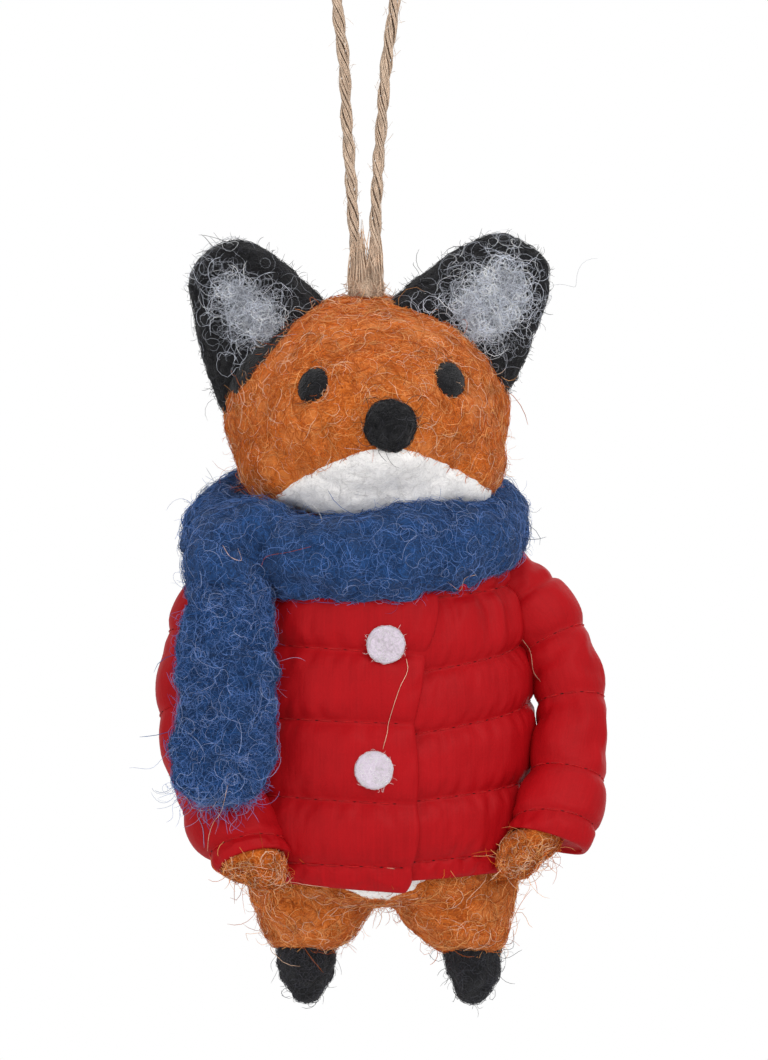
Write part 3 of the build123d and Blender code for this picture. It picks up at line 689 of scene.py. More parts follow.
# The fibres of each family and their sheen: name, colour, how much brighter, and how far towards white
TINTS = {
    "orange": (0.05, (
        ("orange_wool_fibre", "orange", 1, 0), ("rust_wool_fibre", "rust", 1, 0), ("tan_wool_fibre", "tan", 1, 0),
        ("blond_wool_fibre", "tan", 1, 0.35),
    )),
    "black": (0.1, (("black_wool_fibre", "black", 1, 0), ("soft_black_wool_fibre", "black", 7, 0))),
    "white": (0.1, (("white_wool_fibre", "white", 1, 0), ("cream_wool_fibre", "white", 0.86, 0))),
    "grey": (0.05, (
        ("pale_wool_fibre", "grey", 1, 0), ("light_wool_fibre", "grey", 1.25, 0), ("dim_wool_fibre", "grey", 0.5, 0),
    )),
    "blue": (0.05, (
        ("blue_wool_fibre", "blue", 1, 0), ("light_blue_wool_fibre", "blue", 1.7, 0.08),
        ("dark_blue_wool_fibre", "blue", 0.4, 0), ("pale_blue_wool_fibre", "blue", 1.9, 0.3),
    )),
    # The stitches' second tint is painted shade in the holes that they go into.
    "red": (0.05, (("red_sewing_thread", "thread", 1, 0), ("thread_in_its_hole", "red", 0.16, 0))),
    "jute": (0.0, (("jute_hair", "jute", 1, 0), ("pale_jute_hair", "jute", 1.25, 0))),
}
# The wool of each family: its slot, its name, and how bright it is in the painted shade between its fibres and on them
WOOLS = {
    "black": ("black_wool", "black_felted_wool", (0.4, 1, 2.2), {"sheen": 0.12}),
    "white": ("white_wool", "white_felted_wool", (0.78, 1, 1.05), {"bump": 0.2, "sheen": 0.1, "contrast": 0.3}),
    "grey": ("pale_wool", "grey_wool_locks", (0.1, 0.4, 0.9), {"bump": 0.5}),
    "blue": ("blue_felt", "blue_felted_wool", (0.22, 0.6, 1.1), {"bump": 0.5}),
}
families = {}


def stuff(family):
    """A family's material, slot and fibre tints, made once from the colours."""
    if families:
        return families[family]
    pick = {key: list(getattr(bpy.context.scene.fox_colours, key)) for key in FoxColours.__annotations__}
    white = pick["white"]
    tints = {
        key: [fibre(name, towards(shade(pick[tone], bright), white, pale), sheen) for name, tone, bright, pale in rows]
        for key, (sheen, rows) in TINTS.items()
    }
    for key, (slot, name, shares, facts) in WOOLS.items():
        families[key] = (wool(name, *(shade(pick[key], share) for share in shares), **facts), slot, tints[key])
    orange, tan = pick["orange"], pick["tan"]
    # The darkened rust tone is painted shade between the fibres as well as the darker fibres' own colour.
    tones = (shade(pick["rust"], 0.6), shade(orange, 0.85), towards(orange, tan, 0.45), towards(orange, tan, 0.35))
    families["orange"] = (wool("orange_felted_wool", *tones), "orange_wool", tints["orange"])
    # The darker tone of the pressed felt is painted shade between its fibres.
    tones = [shade(pick["lilac"], share) for share in (0.8, 1, 1.05)]
    pressed = wool("white_pressed_felt", *tones, width=0.2, bump=0.12, sheen=0.1)
    families["felt"] = (pressed, "white_felt", tints["white"])
    tones = [shade(pick["red"], share) for share in (0.8, 1, 1.15)]
    families["red"] = (quilted_cotton("red_quilted_cotton", *tones), "red_cotton", tints["red"])
    tones = [shade(pick["jute"], share) for share in (0.62, 1, 1.25)]
    families["jute"] = (jute("two_ply_jute", *tones), "jute", tints["jute"])
    return families[family]


# Stage

# Soft square lamps: their place and width in metres, and their power
LAMPS = {
    "key_lamp": ((0.28, -0.55, 0.22), 0.5, 2.45),
    "fill_lamp": ((-0.45, -0.55, -0.05), 0.6, 1.35),
    "top_lamp": ((0.05, 0.1, 0.5), 0.5, 0.9),
    "back_lamp": ((0.15, 0.6, 0.1), 0.6, 1.2),
}
LAMP_AIM = (0, 0, -0.1)
VIEW_CENTRE, VIEW_HEIGHT = (2.88, -8.0, -90.9), 169.6
FLOOR_LEVEL, FLOOR_HALF = -0.32, 1.5
WHITE = (1, 1, 1, 1)


def seen_white(node, lit, white):
    """White where the camera, gloss or glass sees it, and the other shader for the light it gives."""
    path = node("LightPath").node.outputs
    seen = path["Is Camera Ray"]
    for ray in ("Is Glossy Ray", "Is Transmission Ray"):
        seen = node("Math", {0: seen, 1: path[ray]}, operation="MAXIMUM")
    return node("MixShader", {0: seen, 1: lit, 2: white})


class FOX_OT_stage(bpy.types.Operator):
    """Sets up the camera, the pale floor and the studio light"""

    bl_idname = "fox.stage"
    bl_label = "Stage"

    def execute(self, context):
        scene = context.scene
        camera = bpy.data.cameras.new("camera")
        camera.lens, camera.sensor_width = 200, 36
        camera.clip_start, camera.clip_end = 0.05, 20
        obj = scene.camera = linked("camera", camera)
        away = VIEW_HEIGHT * MM / 2 * camera.lens / (camera.sensor_width / 2)
        obj.location = Vector(VIEW_CENTRE) * MM + FRONT * away
        obj.rotation_euler = (pi / 2, 0, 0)
        for name, (place, width, power) in LAMPS.items():
            lamp = bpy.data.lights.new(name, "AREA")
            lamp.size, lamp.energy = width, power
            obj = linked(name, lamp)
            obj.location = place
            obj.rotation_mode = "QUATERNION"
            obj.rotation_quaternion = (Vector(LAMP_AIM) - Vector(place)).to_track_quat("-Z", "Y")
        scene.world, node = emptied(bpy.data.worlds.new("studio"))
        light, white = (node("Background", {"Color": WHITE, "Strength": level}) for level in (0.6, 1.0))
        node("OutputWorld", {"Surface": seen_white(node, light, white)})
        bm = bmesh.new()
        bmesh.ops.create_grid(
            bm, x_segments=1, y_segments=1, size=FLOOR_HALF, matrix=Matrix.Translation((0, 0, FLOOR_LEVEL))
        )
        floor = shaped("floor", bm)
        paper, node = emptied(bpy.data.materials.new("white_studio_paper"))
        grain = node("TexNoise", {"Scale": 400.0})
        tone = node("ValToRGB", {"Fac": grain}, stops=((0, [0.78] * 3), (1, [0.86] * 3)))
        matt = node("BsdfDiffuse", {"Color": tone})
        glow = node("Emission", {"Color": WHITE, "Strength": 1.0})
        node("OutputMaterial", {"Surface": seen_white(node, matt, glow)})
        floor.data.materials.append(paper)
        scene.view_settings.view_transform = "Standard"
        return {"FINISHED"}


# The pieces


class FOX_OT_twine(bpy.types.Operator):
    """Twists the two plies of the hanging loop, with its hairs and its knot in the crown"""

    bl_idname = "fox.twine"
    bl_label = "Twine"

    def execute(self, context):
        cover, slot, tints = stuff("jute")
        thick = context.scene.fox_sizes.twine_diameter / MM
        path = self.route()
        lengths = np.cumsum([0] + [(b - a).length / MM for a, b in zip(path, path[1:])])
        rng = np.random.default_rng(3)
        ply_offset, yarn_offset, yarn = 0.155 * thick, 0.325 * thick, 0.085 * thick
        places = np.arange(0, lengths[-1], 0.7)
        centres = [Vector([np.interp(s, lengths, [p[i] for p in path]) for i in range(3)]) for s in places]
        lines, radii = [], []
        for ply in range(2):
            for strand in range(YARNS):
                line = []
                wander = rng.uniform(0, tau)
                for number, (s, centre) in enumerate(zip(places, centres)):
                    ahead = centres[min(number + 1, len(centres) - 1)] - centres[max(number - 1, 0)]
                    side = ahead.normalized().cross(Vector((0, 1, 0))).normalized()
                    other = ahead.normalized().cross(side)
                    turn = -tau * (s / PLY_PITCH + ply / 2) - 0.25 * sin(s / 7.0)
                    twist = -tau * (s / YARN_PITCH + strand / YARNS) + wander * 0.1
                    hub = side * cos(turn) + other * sin(turn)
                    rim = side * cos(twist) + other * sin(twist)
                    swell = 1 + 0.2 * noise((s / 3.0, strand, ply))
                    line.append(centre + (hub * ply_offset + rim * yarn_offset * swell) * MM)
                lines.append(line)
                radii.append(yarn * rng.uniform(0.85, 1.2))
        knot = self.knot()
        twine = threads("twine_plies", lines, radii, [cover], [0] * len(lines), "twine", ["twine_loop"])
        hairs = []
        for _ in range(TWINE_HAIRS // (1)):
            number = int(rng.integers(2, len(centres) - 10))
            ahead = (centres[number + 1] - centres[number]).normalized()
            out = ahead.cross(Vector(rng.normal(size=3))).normalized()
            here = centres[number] + out * thick * 0.42 * MM
            heading = (ahead * rng.choice((-1, 1)) + out * rng.uniform(0.05, 0.9)).normalized()
            stride = rng.uniform(0.15, 0.5) * MM
            line = [here.copy()]
            for _ in range(5):
                heading = (heading + Vector(rng.normal(size=3)) * 0.16).normalized()
                here = here + heading * stride
                line.append(here.copy())
            hairs.append(line)
        radii = rng.uniform(0.02, 0.04, len(hairs))
        loose = threads("twine_hairs", hairs, radii, tints, rng.integers(0, 2, len(hairs)), "twine")
        fray = []
        for _ in range(ROOT_HAIRS):
            angle, spread = rng.uniform(0, tau), abs(rng.normal()) * 0.55
            side = rng.choice((-1.35, 1.35), p=(0.65, 0.35))
            x, y = cos(angle), sin(angle)
            top = Vector((side + x * 0.75, y * 0.75, -46.5 + rng.normal() * 2.2)) * MM
            spread += 0.75
            foot = Vector((side + x * spread, y * spread, -53.2 + rng.uniform(0, 1.8))) * MM
            sway = Vector(rng.normal(size=3)) * 0.35 * MM
            fray.append([top.lerp(foot, t) + sway * sin(pi * t) for t in np.linspace(0, 1, 6)])
        radii = rng.uniform(0.04, 0.1, len(fray))
        root = threads("twine_root", fray, radii, tints, rng.integers(0, 2, len(fray)), "knot")
        return {"FINISHED"}

    def route(self):
        """The middle of the loop, as points on a smooth curve."""
        curve = bpy.data.curves.new("twine_route", "CURVE")
        curve.dimensions = "3D"
        curve.resolution_u = 24
        spline = curve.splines.new("NURBS")
        spline.points.add(len(TWINE_ROUTE) - 1)
        for point, place in zip(spline.points, TWINE_ROUTE):
            point.co = (*(Vector(place) * MM), 1)
        spline.order_u = 3
        spline.use_endpoint_u = True
        route = linked("twine_route", curve)
        path = [vert.co.copy() for vert in final_mesh(route).vertices]
        bpy.data.objects.remove(route)
        return path

    def knot(self):
        """The half-sunk knot, an uneven ball of jute."""
        bm = ball(bmesh.new(), Vector(KNOT) * MM, radius=KNOT_RADIUS, detail=3)
        obj = matted("knot", bm, "knot", 4, "jute", ["twine_knot"], "knot")
        fibres("knot_fray", obj, 4, body="knot")
        return obj


class FOX_OT_head(bpy.types.Operator):
    """Felts the head with its muzzle, nose and eyes"""

    bl_idname = "fox.head"
    bl_label = "Head"

    def execute(self, context):
        bm = lofted(self.rings(), 32)
        for middle, halves in JOWLS:
            ball(bm, spot(*middle), halves=halves)
        head = matted("head_felt", bm, "head", 1, "orange", ["head"])

        def inside_muzzle(place):
            if place.y > MIDDLE + 2:
                return -3
            inside = min(place.x - MUZZLE_X[0], MUZZLE_X[-1] - place.x)
            return min(CROWN - place.z - np.interp(place.x, MUZZLE_X, MUZZLE_DROP), inside + 1.5)

        def fur(place):
            return inside_muzzle(place) < 0.2 and place.z > CROWN - 36

        muzzle = patch("muzzle_felt", head, inside_muzzle, (0.45, 2.6, 0.3), 2, "white", ["muzzle"])
        for name, (across, drop, tilt) in EYES.items():
            field = oval_field(across, drop, EYE_HALF, 2.8, tilt)
            eye = patch(f"{name}_felt", head, field, (0.85, 1.5, 0.25), across, "black", [name])
            fibres(f"{name}_wool", eye, int(abs(across) * 10), "eye_wool")
        bm = ball(bmesh.new(), spot(*NOSE), radius=NOSE_RADIUS)
        fibres("nose_wool", matted("nose_felt", bm, "nose", 6, "black", ["nose"]), 21)
        for name, seed in (("head_wool", 11), ("head_top_wool", 15), ("head_fuzz", 12)):
            fibres(name, head, seed, where=fur)
        fibres("muzzle_wool", muzzle, 13, where=lambda p: inside_muzzle(p) > 0.3)
        fibres("muzzle_edge_wool", muzzle, 14, where=lambda p: -1.2 < inside_muzzle(p) < 0.5)
        return {"FINISHED"}

    def rings(self):
        """Ovals from the back of the head to the tip of the snout."""
        wide, high = HEAD_HALF
        rows = []
        for angle in HEAD_BACK_ANGLES:
            size = cos(radians(angle))
            rows.append((0, HEAD_BACK * sin(radians(angle)), high, wide * size, high * size))
        for reach, size in HEAD_FRONT_SHARES:
            drift = reach**2
            rows.append((SNOUT_SHIFT * drift, -HEAD_FRONT * reach, high + SNOUT_DIP * drift, wide * size, high * size))
        return [ring(spot(*row[:3]), LEFT, UP, *row[3:]) for row in smooth_rows(rows, 2)]


class FOX_OT_ears(bpy.types.Operator):
    """Felts the ears and fills them with pale locks"""

    bl_idname = "fox.ears"
    bl_label = "Ears"

    def execute(self, context):

        def root_field(place):
            drop = CROWN - place.z
            across = (place.x + 7.0) * 0.783 + (drop + 0.2) * 0.622
            return min(-across, 16.4 - drop) if -MIDDLE - 16 < place.y < MIDDLE + 3 else -3

        head = bpy.data.objects["head_felt"]
        root = patch("right_ear_root_felt", head, root_field, (0.5, 1.4, 0.3), 9, "black")
        fibres("right_ear_root_wool", root, 39, "ear_root_wool")
        for number, (side, (foot, tip, tuft, spread, tilt)) in enumerate(EARS.items()):
            low, high = spot(foot[0], EAR_DEPTH, foot[1]), spot(tip[0], EAR_DEPTH, tip[1])
            run = (high - low).normalized()
            level = run.cross(Vector((0, 1, 0)))
            rings = stack(low, high, level, run.cross(level), EAR_HALF, EAR_SHARES, 3)
            ear = matted(f"{side}_ear_felt", lofted(rings, 24), "ear", 8 + number, "black", [f"{side}_ear"])
            field = oval_field(*tuft, spread, spread[0], tilt, EAR_DEPTH)
            patch(f"{side}_ear_tuft_felt", ear, field, (0.5, 2.2, 1.6), 3 + number, "grey", [f"{side}_ear_tuft"])
            fibres(f"{side}_ear_wool", ear, 31 + number, "ear_wool")
            fibres(f"{side}_ear_fuzz", ear, 61 + number, "ear_fuzz")
            fibres(f"{side}_ear_locks", ear, 33 + number, where=lambda p, f=field: f(p) > 0.5)
            fibres(
                f"{side}_ear_curls", ear, 36 + number,
                where=lambda p, f=field: f(p) > -4.5 and p.y < MIDDLE + EAR_DEPTH,
            )
        return {"FINISHED"}


torso_places, *torso_sizes = zip(*smooth_rows(TORSO_SHARES, 6))


def torso_half(drop):
    """Half the torso's width and depth at that drop, in millimetres."""
    share = (drop - TORSO_TOP) / TORSO_HEIGHT
    return [half * np.interp(share, torso_places, sizes) for half, sizes in zip(TORSO_HALF, torso_sizes)]


class FOX_OT_body(bpy.types.Operator):
    """Felts the body with its legs, feet, belly and tail"""

    bl_idname = "fox.body"
    bl_label = "Body"

    def execute(self, context):

        def below_hem(place):
            return place.z < CROWN - HEM_DROP

        top, hem = (spot(TORSO_ACROSS, 0, drop) for drop in (TORSO_TOP, TORSO_TOP + TORSO_HEIGHT))
        bm = lofted(stack(top, hem, LEFT, -FRONT, TORSO_HALF, TORSO_SHARES, 2), 32)
        wide, deep = LEG_HALF
        for across, lean in LEGS.values():
            rings = []
            for place, size, drift in smooth_rows(LEG_SHARES, 3):
                centre = spot(across + lean * drift, LEG_DEPTH, LEG_TOP + LEG_LENGTH * place)
                rings.append(ring(centre, LEFT, -FRONT, wide * size, deep * size))
            loft(bm, rings, 24)
        body = matted("body_felt", bm, "body", 14, "orange", ["torso", "left_leg", "right_leg"])
        field = oval_field(TORSO_ACROSS, BELLY_DROP, BELLY_HALF, BELLY_HALF[0])
        patch("belly_felt", body, field, (0.7, 1.5, 0.6), 5, "white", ["belly_patch"])
        fibres("body_wool", body, 41, where=below_hem)
        fibres("body_fuzz", body, 42, where=below_hem)
        for number, (side, (across, lean)) in enumerate(LEGS.items()):
            ankle, toe = (spot(across + lean, LEG_DEPTH, drop) for drop in (FOOT_TOP, FOOT_TOP + FOOT_LENGTH))
            bm = lofted(stack(ankle, toe, LEFT, -FRONT, (FOOT_HALF, FOOT_HALF), FOOT_SHARES, 3), 20)
            foot = matted(f"{side}_foot_felt", bm, "foot", 17 + number, "black", [f"{side}_foot"])
            fibres(f"{side}_foot_wool", foot, 43 + number, "foot_wool")
        # A short curled tail with its white tip
        slant = Vector((0, cos(radians(TAIL_SLANT)), sin(radians(TAIL_SLANT))))
        rings = []
        for back, rise, width, height in smooth_rows(TAIL_SHARES, 3):
            centre = spot(TORSO_ACROSS, TAIL_BACK + TAIL_LENGTH * back, TAIL_DROP - TAIL_RISE * rise)
            rings.append(ring(centre, LEFT, slant.cross(LEFT), TAIL_HALF * width, TAIL_HALF * height))
        parts = (("tail", rings[:TAIL_TO], "orange"), ("tail_tip", rings[TIP_FROM:], "white"))
        for number, (name, run, family) in enumerate(parts):
            obj = matted(f"{name}_felt", lofted(run, 24), "tail", 23 + number, family, [name])
            fibres(f"{name}_wool", obj, 47 + number)
        return {"FINISHED"}


def arm_rows(side, steps):
    """Middle of the arm, its size and direction at each step down it."""
    across, length, reach, outward, shares = ARMS[side]
    rows = [
        (spot(across + outward * ARM_BOW * out, -reach * ahead, SHOULDER_DROP + length * down), size)
        for out, ahead, down, size in smooth_rows(shares, steps)
    ]
    made = []
    for number, (centre, size) in enumerate(rows):
        run = rows[min(number + 1, len(rows) - 1)][0] - rows[max(number - 1, 0)][0]
        # The cuffs are cut level, not square to the arms
        run.x *= 1 - 0.62 * fade(number / steps, CUFF - 2, CUFF - 1)
        run.normalize()
        level = Vector((0, 1, 0)).cross(run).normalized()
        made.append((centre, size, level, run.cross(level)))
    return made


class FOX_OT_paws(bpy.types.Operator):
    """Felts the paws that show below the cuffs"""

    bl_idname = "fox.paws"
    bl_label = "Paws"

    def execute(self, context):
        wide, deep = SLEEVE_HALF
        for number, side in enumerate(ARMS):
            width, shift = PAWS[side]
            length, outward = ARMS[side][1], ARMS[side][3]
            rings = [
                ring(centre + level * shift * outward * MM, level, other, wide * size * width, deep * size * 0.74)
                for centre, size, level, other in arm_rows(side, 3)[CUFF * 3 - 2 :]
            ]
            body = f"{side}_arm"
            paw = matted(f"{side}_paw_felt", lofted(rings, 20), "paw", 29 + number, "orange", [body], body)
            fibres(
                f"{side}_paw_wool", paw, 51 + number, "paw_wool", body=body,
                where=lambda p, lowest=SHOULDER_DROP + length - 0.5: CROWN - p.z > lowest,
            )
        return {"FINISHED"}


def inflate(obj, sewn, slack, frames=18, most=0.55):
    """Blows cloth up between its sewn points, by at most that many millimetres. It is simulated twenty times larger."""
    grown = 20.0
    mesh = obj.data.copy()
    mesh.transform(Matrix.Scale(grown, 4))
    big = linked("padding", mesh)
    big.vertex_groups.new(name="sewn").add(list(sewn), 1.0, "REPLACE")
    cloth = big.modifiers.new("cloth", "CLOTH")
    settings = cloth.settings
    settings.quality = 5
    settings.mass = 0.2
    settings.tension_stiffness = settings.compression_stiffness = 12
    settings.shear_stiffness = 4
    settings.bending_stiffness = 0.3
    settings.vertex_group_mass = "sewn"
    settings.use_pressure = True
    settings.uniform_pressure_force = 3.0
    settings.shrink_min = -slack
    settings.effector_weights.gravity = 0
    cloth.collision_settings.use_collision = False
    cloth.point_cache.frame_end = frames
    for number in range(1, frames + 1):
        bpy.context.scene.frame_set(number)
    result = big.evaluated_get(bpy.context.evaluated_depsgraph_get()).data
    before, after = np.empty(len(mesh.vertices) * 3), np.empty(len(mesh.vertices) * 3)
    mesh.vertices.foreach_get("co", before)
    result.vertices.foreach_get("co", after)
    moved = (after - before).reshape(-1, 3) / grown
    reach = np.linalg.norm(moved, axis=1)
    moved *= np.minimum(1, most * MM / np.maximum(reach, 1e-9))[:, None]
    obj.data.vertices.foreach_set("co", (before.reshape(-1, 3) / grown + moved).ravel())
    obj.data.update()
    bpy.data.objects.remove(big)
    bpy.context.scene.frame_set(1)


def crisp(bm, marked):
    """Keeps the edges between vertices with the marked numbers sharp when the mesh is refined."""
    layer = bm.edges.layers.float.new("crease_edge")
    for edge in bm.edges:
        if all(vert.index in marked for vert in edge.verts):
            edge[layer] = 0.85


def sew(name, seams, seed, body, stitch):
    """Running stitches along seams, and dark marks of painted shade for the holes that they go into. A seam is a list
    of points and normals.
    """
    rise = 0.16 * MM
    lines, hole_shades = [], []
    for path in seams:
        lengths = np.cumsum([0] + [(b[0] - a[0]).length for a, b in zip(path, path[1:])])

        def on_path(s, high, path=path, lengths=lengths):
            index = min(int(np.searchsorted(lengths, s, "right")) - 1, len(path) - 2)
            along = (s - lengths[index]) / max(lengths[index + 1] - lengths[index], 1e-9)
            point = path[index][0].lerp(path[index + 1][0], along)
            return point + path[index][1].lerp(path[index + 1][1], along).normalized() * high

        place = stitch * 0.4
        while place + stitch * 1.4 < lengths[-1]:
            bridge = ((0, 0.2), (0.2, 1), (0.5, 1), (0.8, 1), (1, 0.2))
            lines.append([on_path(place + stitch * share, rise * high) for share, high in bridge])
            # Each hole is a short, nearly black thread: painted shade where the stitch goes into the cloth.
            hole_shades.append([on_path(place + stitch * share, rise * 0.3) for share in (1.06, 1.18, 1.3)])
            place += stitch * 1.38
    rng = np.random.default_rng(seed)
    radii = [*rng.uniform(0.1, 0.13, len(lines)), *rng.uniform(0.13, 0.16, len(hole_shades))]
    _, slot, tints = stuff("red")
    threads(name, [*lines, *hole_shades], radii, tints, [0] * len(lines) + [1] * len(hole_shades), body)


def seam_path(mesh, numbers):
    """The points and normals of a mesh at these vertices."""
    return [(mesh.vertices[i].co.copy(), mesh.vertices[i].normal.copy()) for i in numbers]


# The drop of each panel's seams, at its first and at its last edge
PANELS = {
    "jacket_right_front": ((37, 37), (45.5, 47.5), (55, 57.6), (67, 68.6), (79, 81.4), (90, 91.4), (92.6, 95.6)),
    "jacket_left_front": ((37, 37), (49.5, 46), (61.6, 55.4), (71.4, 65), (81.6, 77.4), (91, 88.4), (94, 91.8)),
    "jacket_back": ((37, 37), (46, 45.5), (55.4, 55), (65, 67), (77.4, 79), (88.4, 90), (91.8, 92.6)),
}
ROWS_A_CHANNEL = 10
# How far the cloth is out from the torso, how much more where it laps, and how far it reaches under the lap
PANEL_LIFT, LAP_LIFT, UNDERLAP = 1.6, 1.2, 7.0
# From and to which angle round the torso a panel goes, where it isn't lapped, and how many columns it has
FRONT_ARC, BACK_ARC = (-92, 92), (89, 271)
FRONT_COLUMNS, BACK_COLUMNS = 64, 80
PANEL_WALL, LAP_WALL = 0.8, 1.1


def lap_angle(drop, shift):
    """The angle round the torso of the lapped edge, moved by a shift in millimetres."""
    share = (drop - LAP_TOP[1]) / (LAP_FOOT[1] - LAP_TOP[1])
    across = LAP_TOP[0] + (LAP_FOOT[0] - LAP_TOP[0]) * share + shift + 0.9 * sin(share * 9.0)
    half = torso_half(drop)[0] + 2.0
    return asin(max(-1, min(1, (across - TORSO_ACROSS) / half)))


class FOX_OT_jacket(bpy.types.Operator):
    """Sews the quilted panels of the jacket and stitches their channels"""

    bl_idname = "fox.jacket"
    bl_label = "Jacket"

    def execute(self, context):
        sizes = context.scene.fox_sizes
        seams = [seam for name in PANELS for seam in self.panel(name, sizes.puff / MM)]
        sew("jacket_stitches", seams, 61, "fox", sizes.stitch)
        return {"FINISHED"}

    def panel(self, name, puff):
        """One panel as a puffed sheet with pinned seams. Gives its seams."""
        seams = PANELS[name]
        right, back = name == "jacket_right_front", name == "jacket_back"
        channels = len(seams) - 1
        rows, columns = channels * ROWS_A_CHANNEL, BACK_COLUMNS if back else FRONT_COLUMNS
        bm = bmesh.new()
        bmesh.ops.create_grid(bm, x_segments=columns, y_segments=rows, size=1)
        weave = bm.verts.layers.float_vector.new("weave")
        grid, sewn, sewn_rows = {}, [], set()
        for vert in bm.verts:
            column = round((vert.co.x + 1) / 2 * columns)
            row = round((1 - vert.co.y) / 2 * rows)
            grid[row, column] = vert.index
            share = column / columns
            channel = min(row // ROWS_A_CHANNEL, channels - 1)
            t = row / ROWS_A_CHANNEL - channel
            upper, lower = (a + (b - a) * share for a, b in seams[channel : channel + 2])
            drop = upper + (lower - upper) * t
            first, last = (radians(angle) for angle in (BACK_ARC if back else FRONT_ARC))
            if right:
                last = lap_angle(drop, 0.5 * sin(pi * t))
            elif not back:
                first = lap_angle(drop, -UNDERLAP)
            angle = first + (last - first) * share
            edge = fade(min(share, 1 - share) * columns, 0, 5)
            if right:
                edge = max(edge, 0.6 * fade(share, 0.6, 1))
            if channel == channels - 1:
                full = 0.35 * sin(pi * t)
            else:
                full = sqrt(max(0, 1 - abs(2 * t - 1) ** 2.4))
            ripple = 0.3 * noise((angle * 7, drop / 9, channel * 3.3))
            ripple += 0.12 * noise((angle * 17 + drop / 5, drop / 4, 5)) * (row % ROWS_A_CHANNEL > 0)
            # Puckers beside the seams, and gathers under the scarf
            near = max(0.0, 1 - 4.5 * min(t, 1 - t))
            ripple -= 0.16 * near * cos(tau * column / 5 + channel) * (0 < t < 1)
            pleat = 0.0
            if channel <= 2 and not right:
                wander = 3 * noise((angle * 3, drop / 30, 0))
                pleat = 0.5 * cos(angle * 21 + wander) * fade(60 - drop, 0, 12)
            rise = puff * full * (0.4 + 0.6 * edge)
            out = PANEL_LIFT + LAP_LIFT * right + rise + ripple + pleat * fade(full, 0, 0.5)
            wide, deep = torso_half(drop)
            vert.co = spot(TORSO_ACROSS + (wide + out) * sin(angle), -(deep + out) * cos(angle), drop)
            vert[weave] = Vector((angle * 20, -drop, channel)) * MM
            if row % ROWS_A_CHANNEL == 0:
                sewn_rows.add(vert.index)
            if row % ROWS_A_CHANNEL == 0 or column in (0, columns):
                sewn.append(vert.index)
        crisp(bm, sewn_rows)
        bmesh.ops.recalc_face_normals(bm, faces=bm.faces)
        probe = bm.faces[:][len(bm.faces) // 2]
        if probe.normal.dot(probe.calc_center_median() - spot(TORSO_ACROSS, 0, 65)) < 0:
            bmesh.ops.reverse_faces(bm, faces=bm.faces)
        obj = dress(shaped(f"{name}_quilt", bm), "red", [name])
        inflate(obj, sewn, 0.05)
        inner = range(1, columns)
        paths = [seam_path(obj.data, [grid[seam * ROWS_A_CHANNEL, c] for c in inner]) for seam in range(1, channels)]
        wall = obj.modifiers.new("wall", "SOLIDIFY")
        wall.thickness = (LAP_WALL if right else PANEL_WALL) * MM
        wall.offset = -1
        refine(obj)
        return paths


SLEEVE_STEPS, SLEEVE_SIDES = 7, 48


class FOX_OT_sleeves(bpy.types.Operator):
    """Sews the quilted sleeves and stitches them"""

    bl_idname = "fox.sleeves"
    bl_label = "Sleeves"

    def execute(self, context):
        sizes = context.scene.fox_sizes
        puff = sizes.puff / MM
        wide, deep = SLEEVE_HALF
        for number, side in enumerate(ARMS):
            rows = arm_rows(side, SLEEVE_STEPS)[: CUFF * SLEEVE_STEPS + 1]
            rings = []
            for index, (centre, size, level, other) in enumerate(rows):
                full = sin(pi * (index % SLEEVE_STEPS / SLEEVE_STEPS))
                full = full**0.7 if SLEEVE_STEPS < index < 5 * SLEEVE_STEPS else 0.3 * full
                grow = -0.9 + puff * full * 0.8
                rings.append(ring(centre, level, other, wide * size + grow, deep * size + grow))
            # The cuff is turned in
            inward = (rows[-4][0] - centre) * 0.8
            for depth, shrink in ((0.05, 0.9), (0.5, 1.3), (1.0, 1.5)):
                less = 0.9 + shrink * 0.7
                rings.append(ring(centre + inward * depth, level, other, wide * size - less, deep * size - less))
            bm = bmesh.new()
            weave = bm.verts.layers.float_vector.new("weave")
            loops = loft(bm, rings, SLEEVE_SIDES)
            bm.verts.index_update()
            sewn, seams = [], []
            for index, loop in enumerate(loops):
                hub = rings[min(index, len(rings) - 1)].translation
                for vert in loop:
                    outward = (vert.co - hub).normalized()
                    angle = atan2(outward.x, -outward.y)
                    vert[weave] = Vector((angle * 6.5, vert.co.z / MM, 0)) * MM
                    if index < len(rows) - 1 and index % SLEEVE_STEPS:
                        # Small waves, and folds on the inner side of the elbow
                        wave = 0.35 * noise((angle * 2.2, index / 5, number * 9))
                        inner = max(0.0, -outward.x * ARMS[side][3]) * fade(index, 12, 16) * fade(30 - index, 0, 6)
                        fold = max(0.0, sin(index * 1.25 + angle * 1.6)) ** 2
                        vert.co += outward * (wave - 0.75 * inner * fold) * MM
                if index % SLEEVE_STEPS == 0 or index >= len(rows) - 1 or index <= 1:
                    sewn += [vert.index for vert in loop]
                if index % SLEEVE_STEPS == 0 and 0 < index < len(rows) - 1:
                    seams.append([vert.index for vert in loop])
            crisp(bm, {index for seam in seams for index in seam})
            body = f"{side}_arm"
            obj = dress(shaped(f"{side}_sleeve_quilt", bm), "red", [f"{side}_sleeve"], body)
            inflate(obj, sewn, 0.06)
            paths = []
            for seam in seams[1:]:
                points = {i: obj.data.vertices[i].co for i in seam}
                middle = sum(points.values(), Vector()) / len(seam)
                turned = sorted((atan2((p - middle).x, -(p - middle).y), i) for i, p in points.items())
                path = seam_path(obj.data, [i for _, i in turned])
                paths.append([*path, path[0]])
            sew(f"{side}_sleeve_stitches", paths, 64 + number, body, sizes.stitch)
            refine(obj)
        return {"FINISHED"}


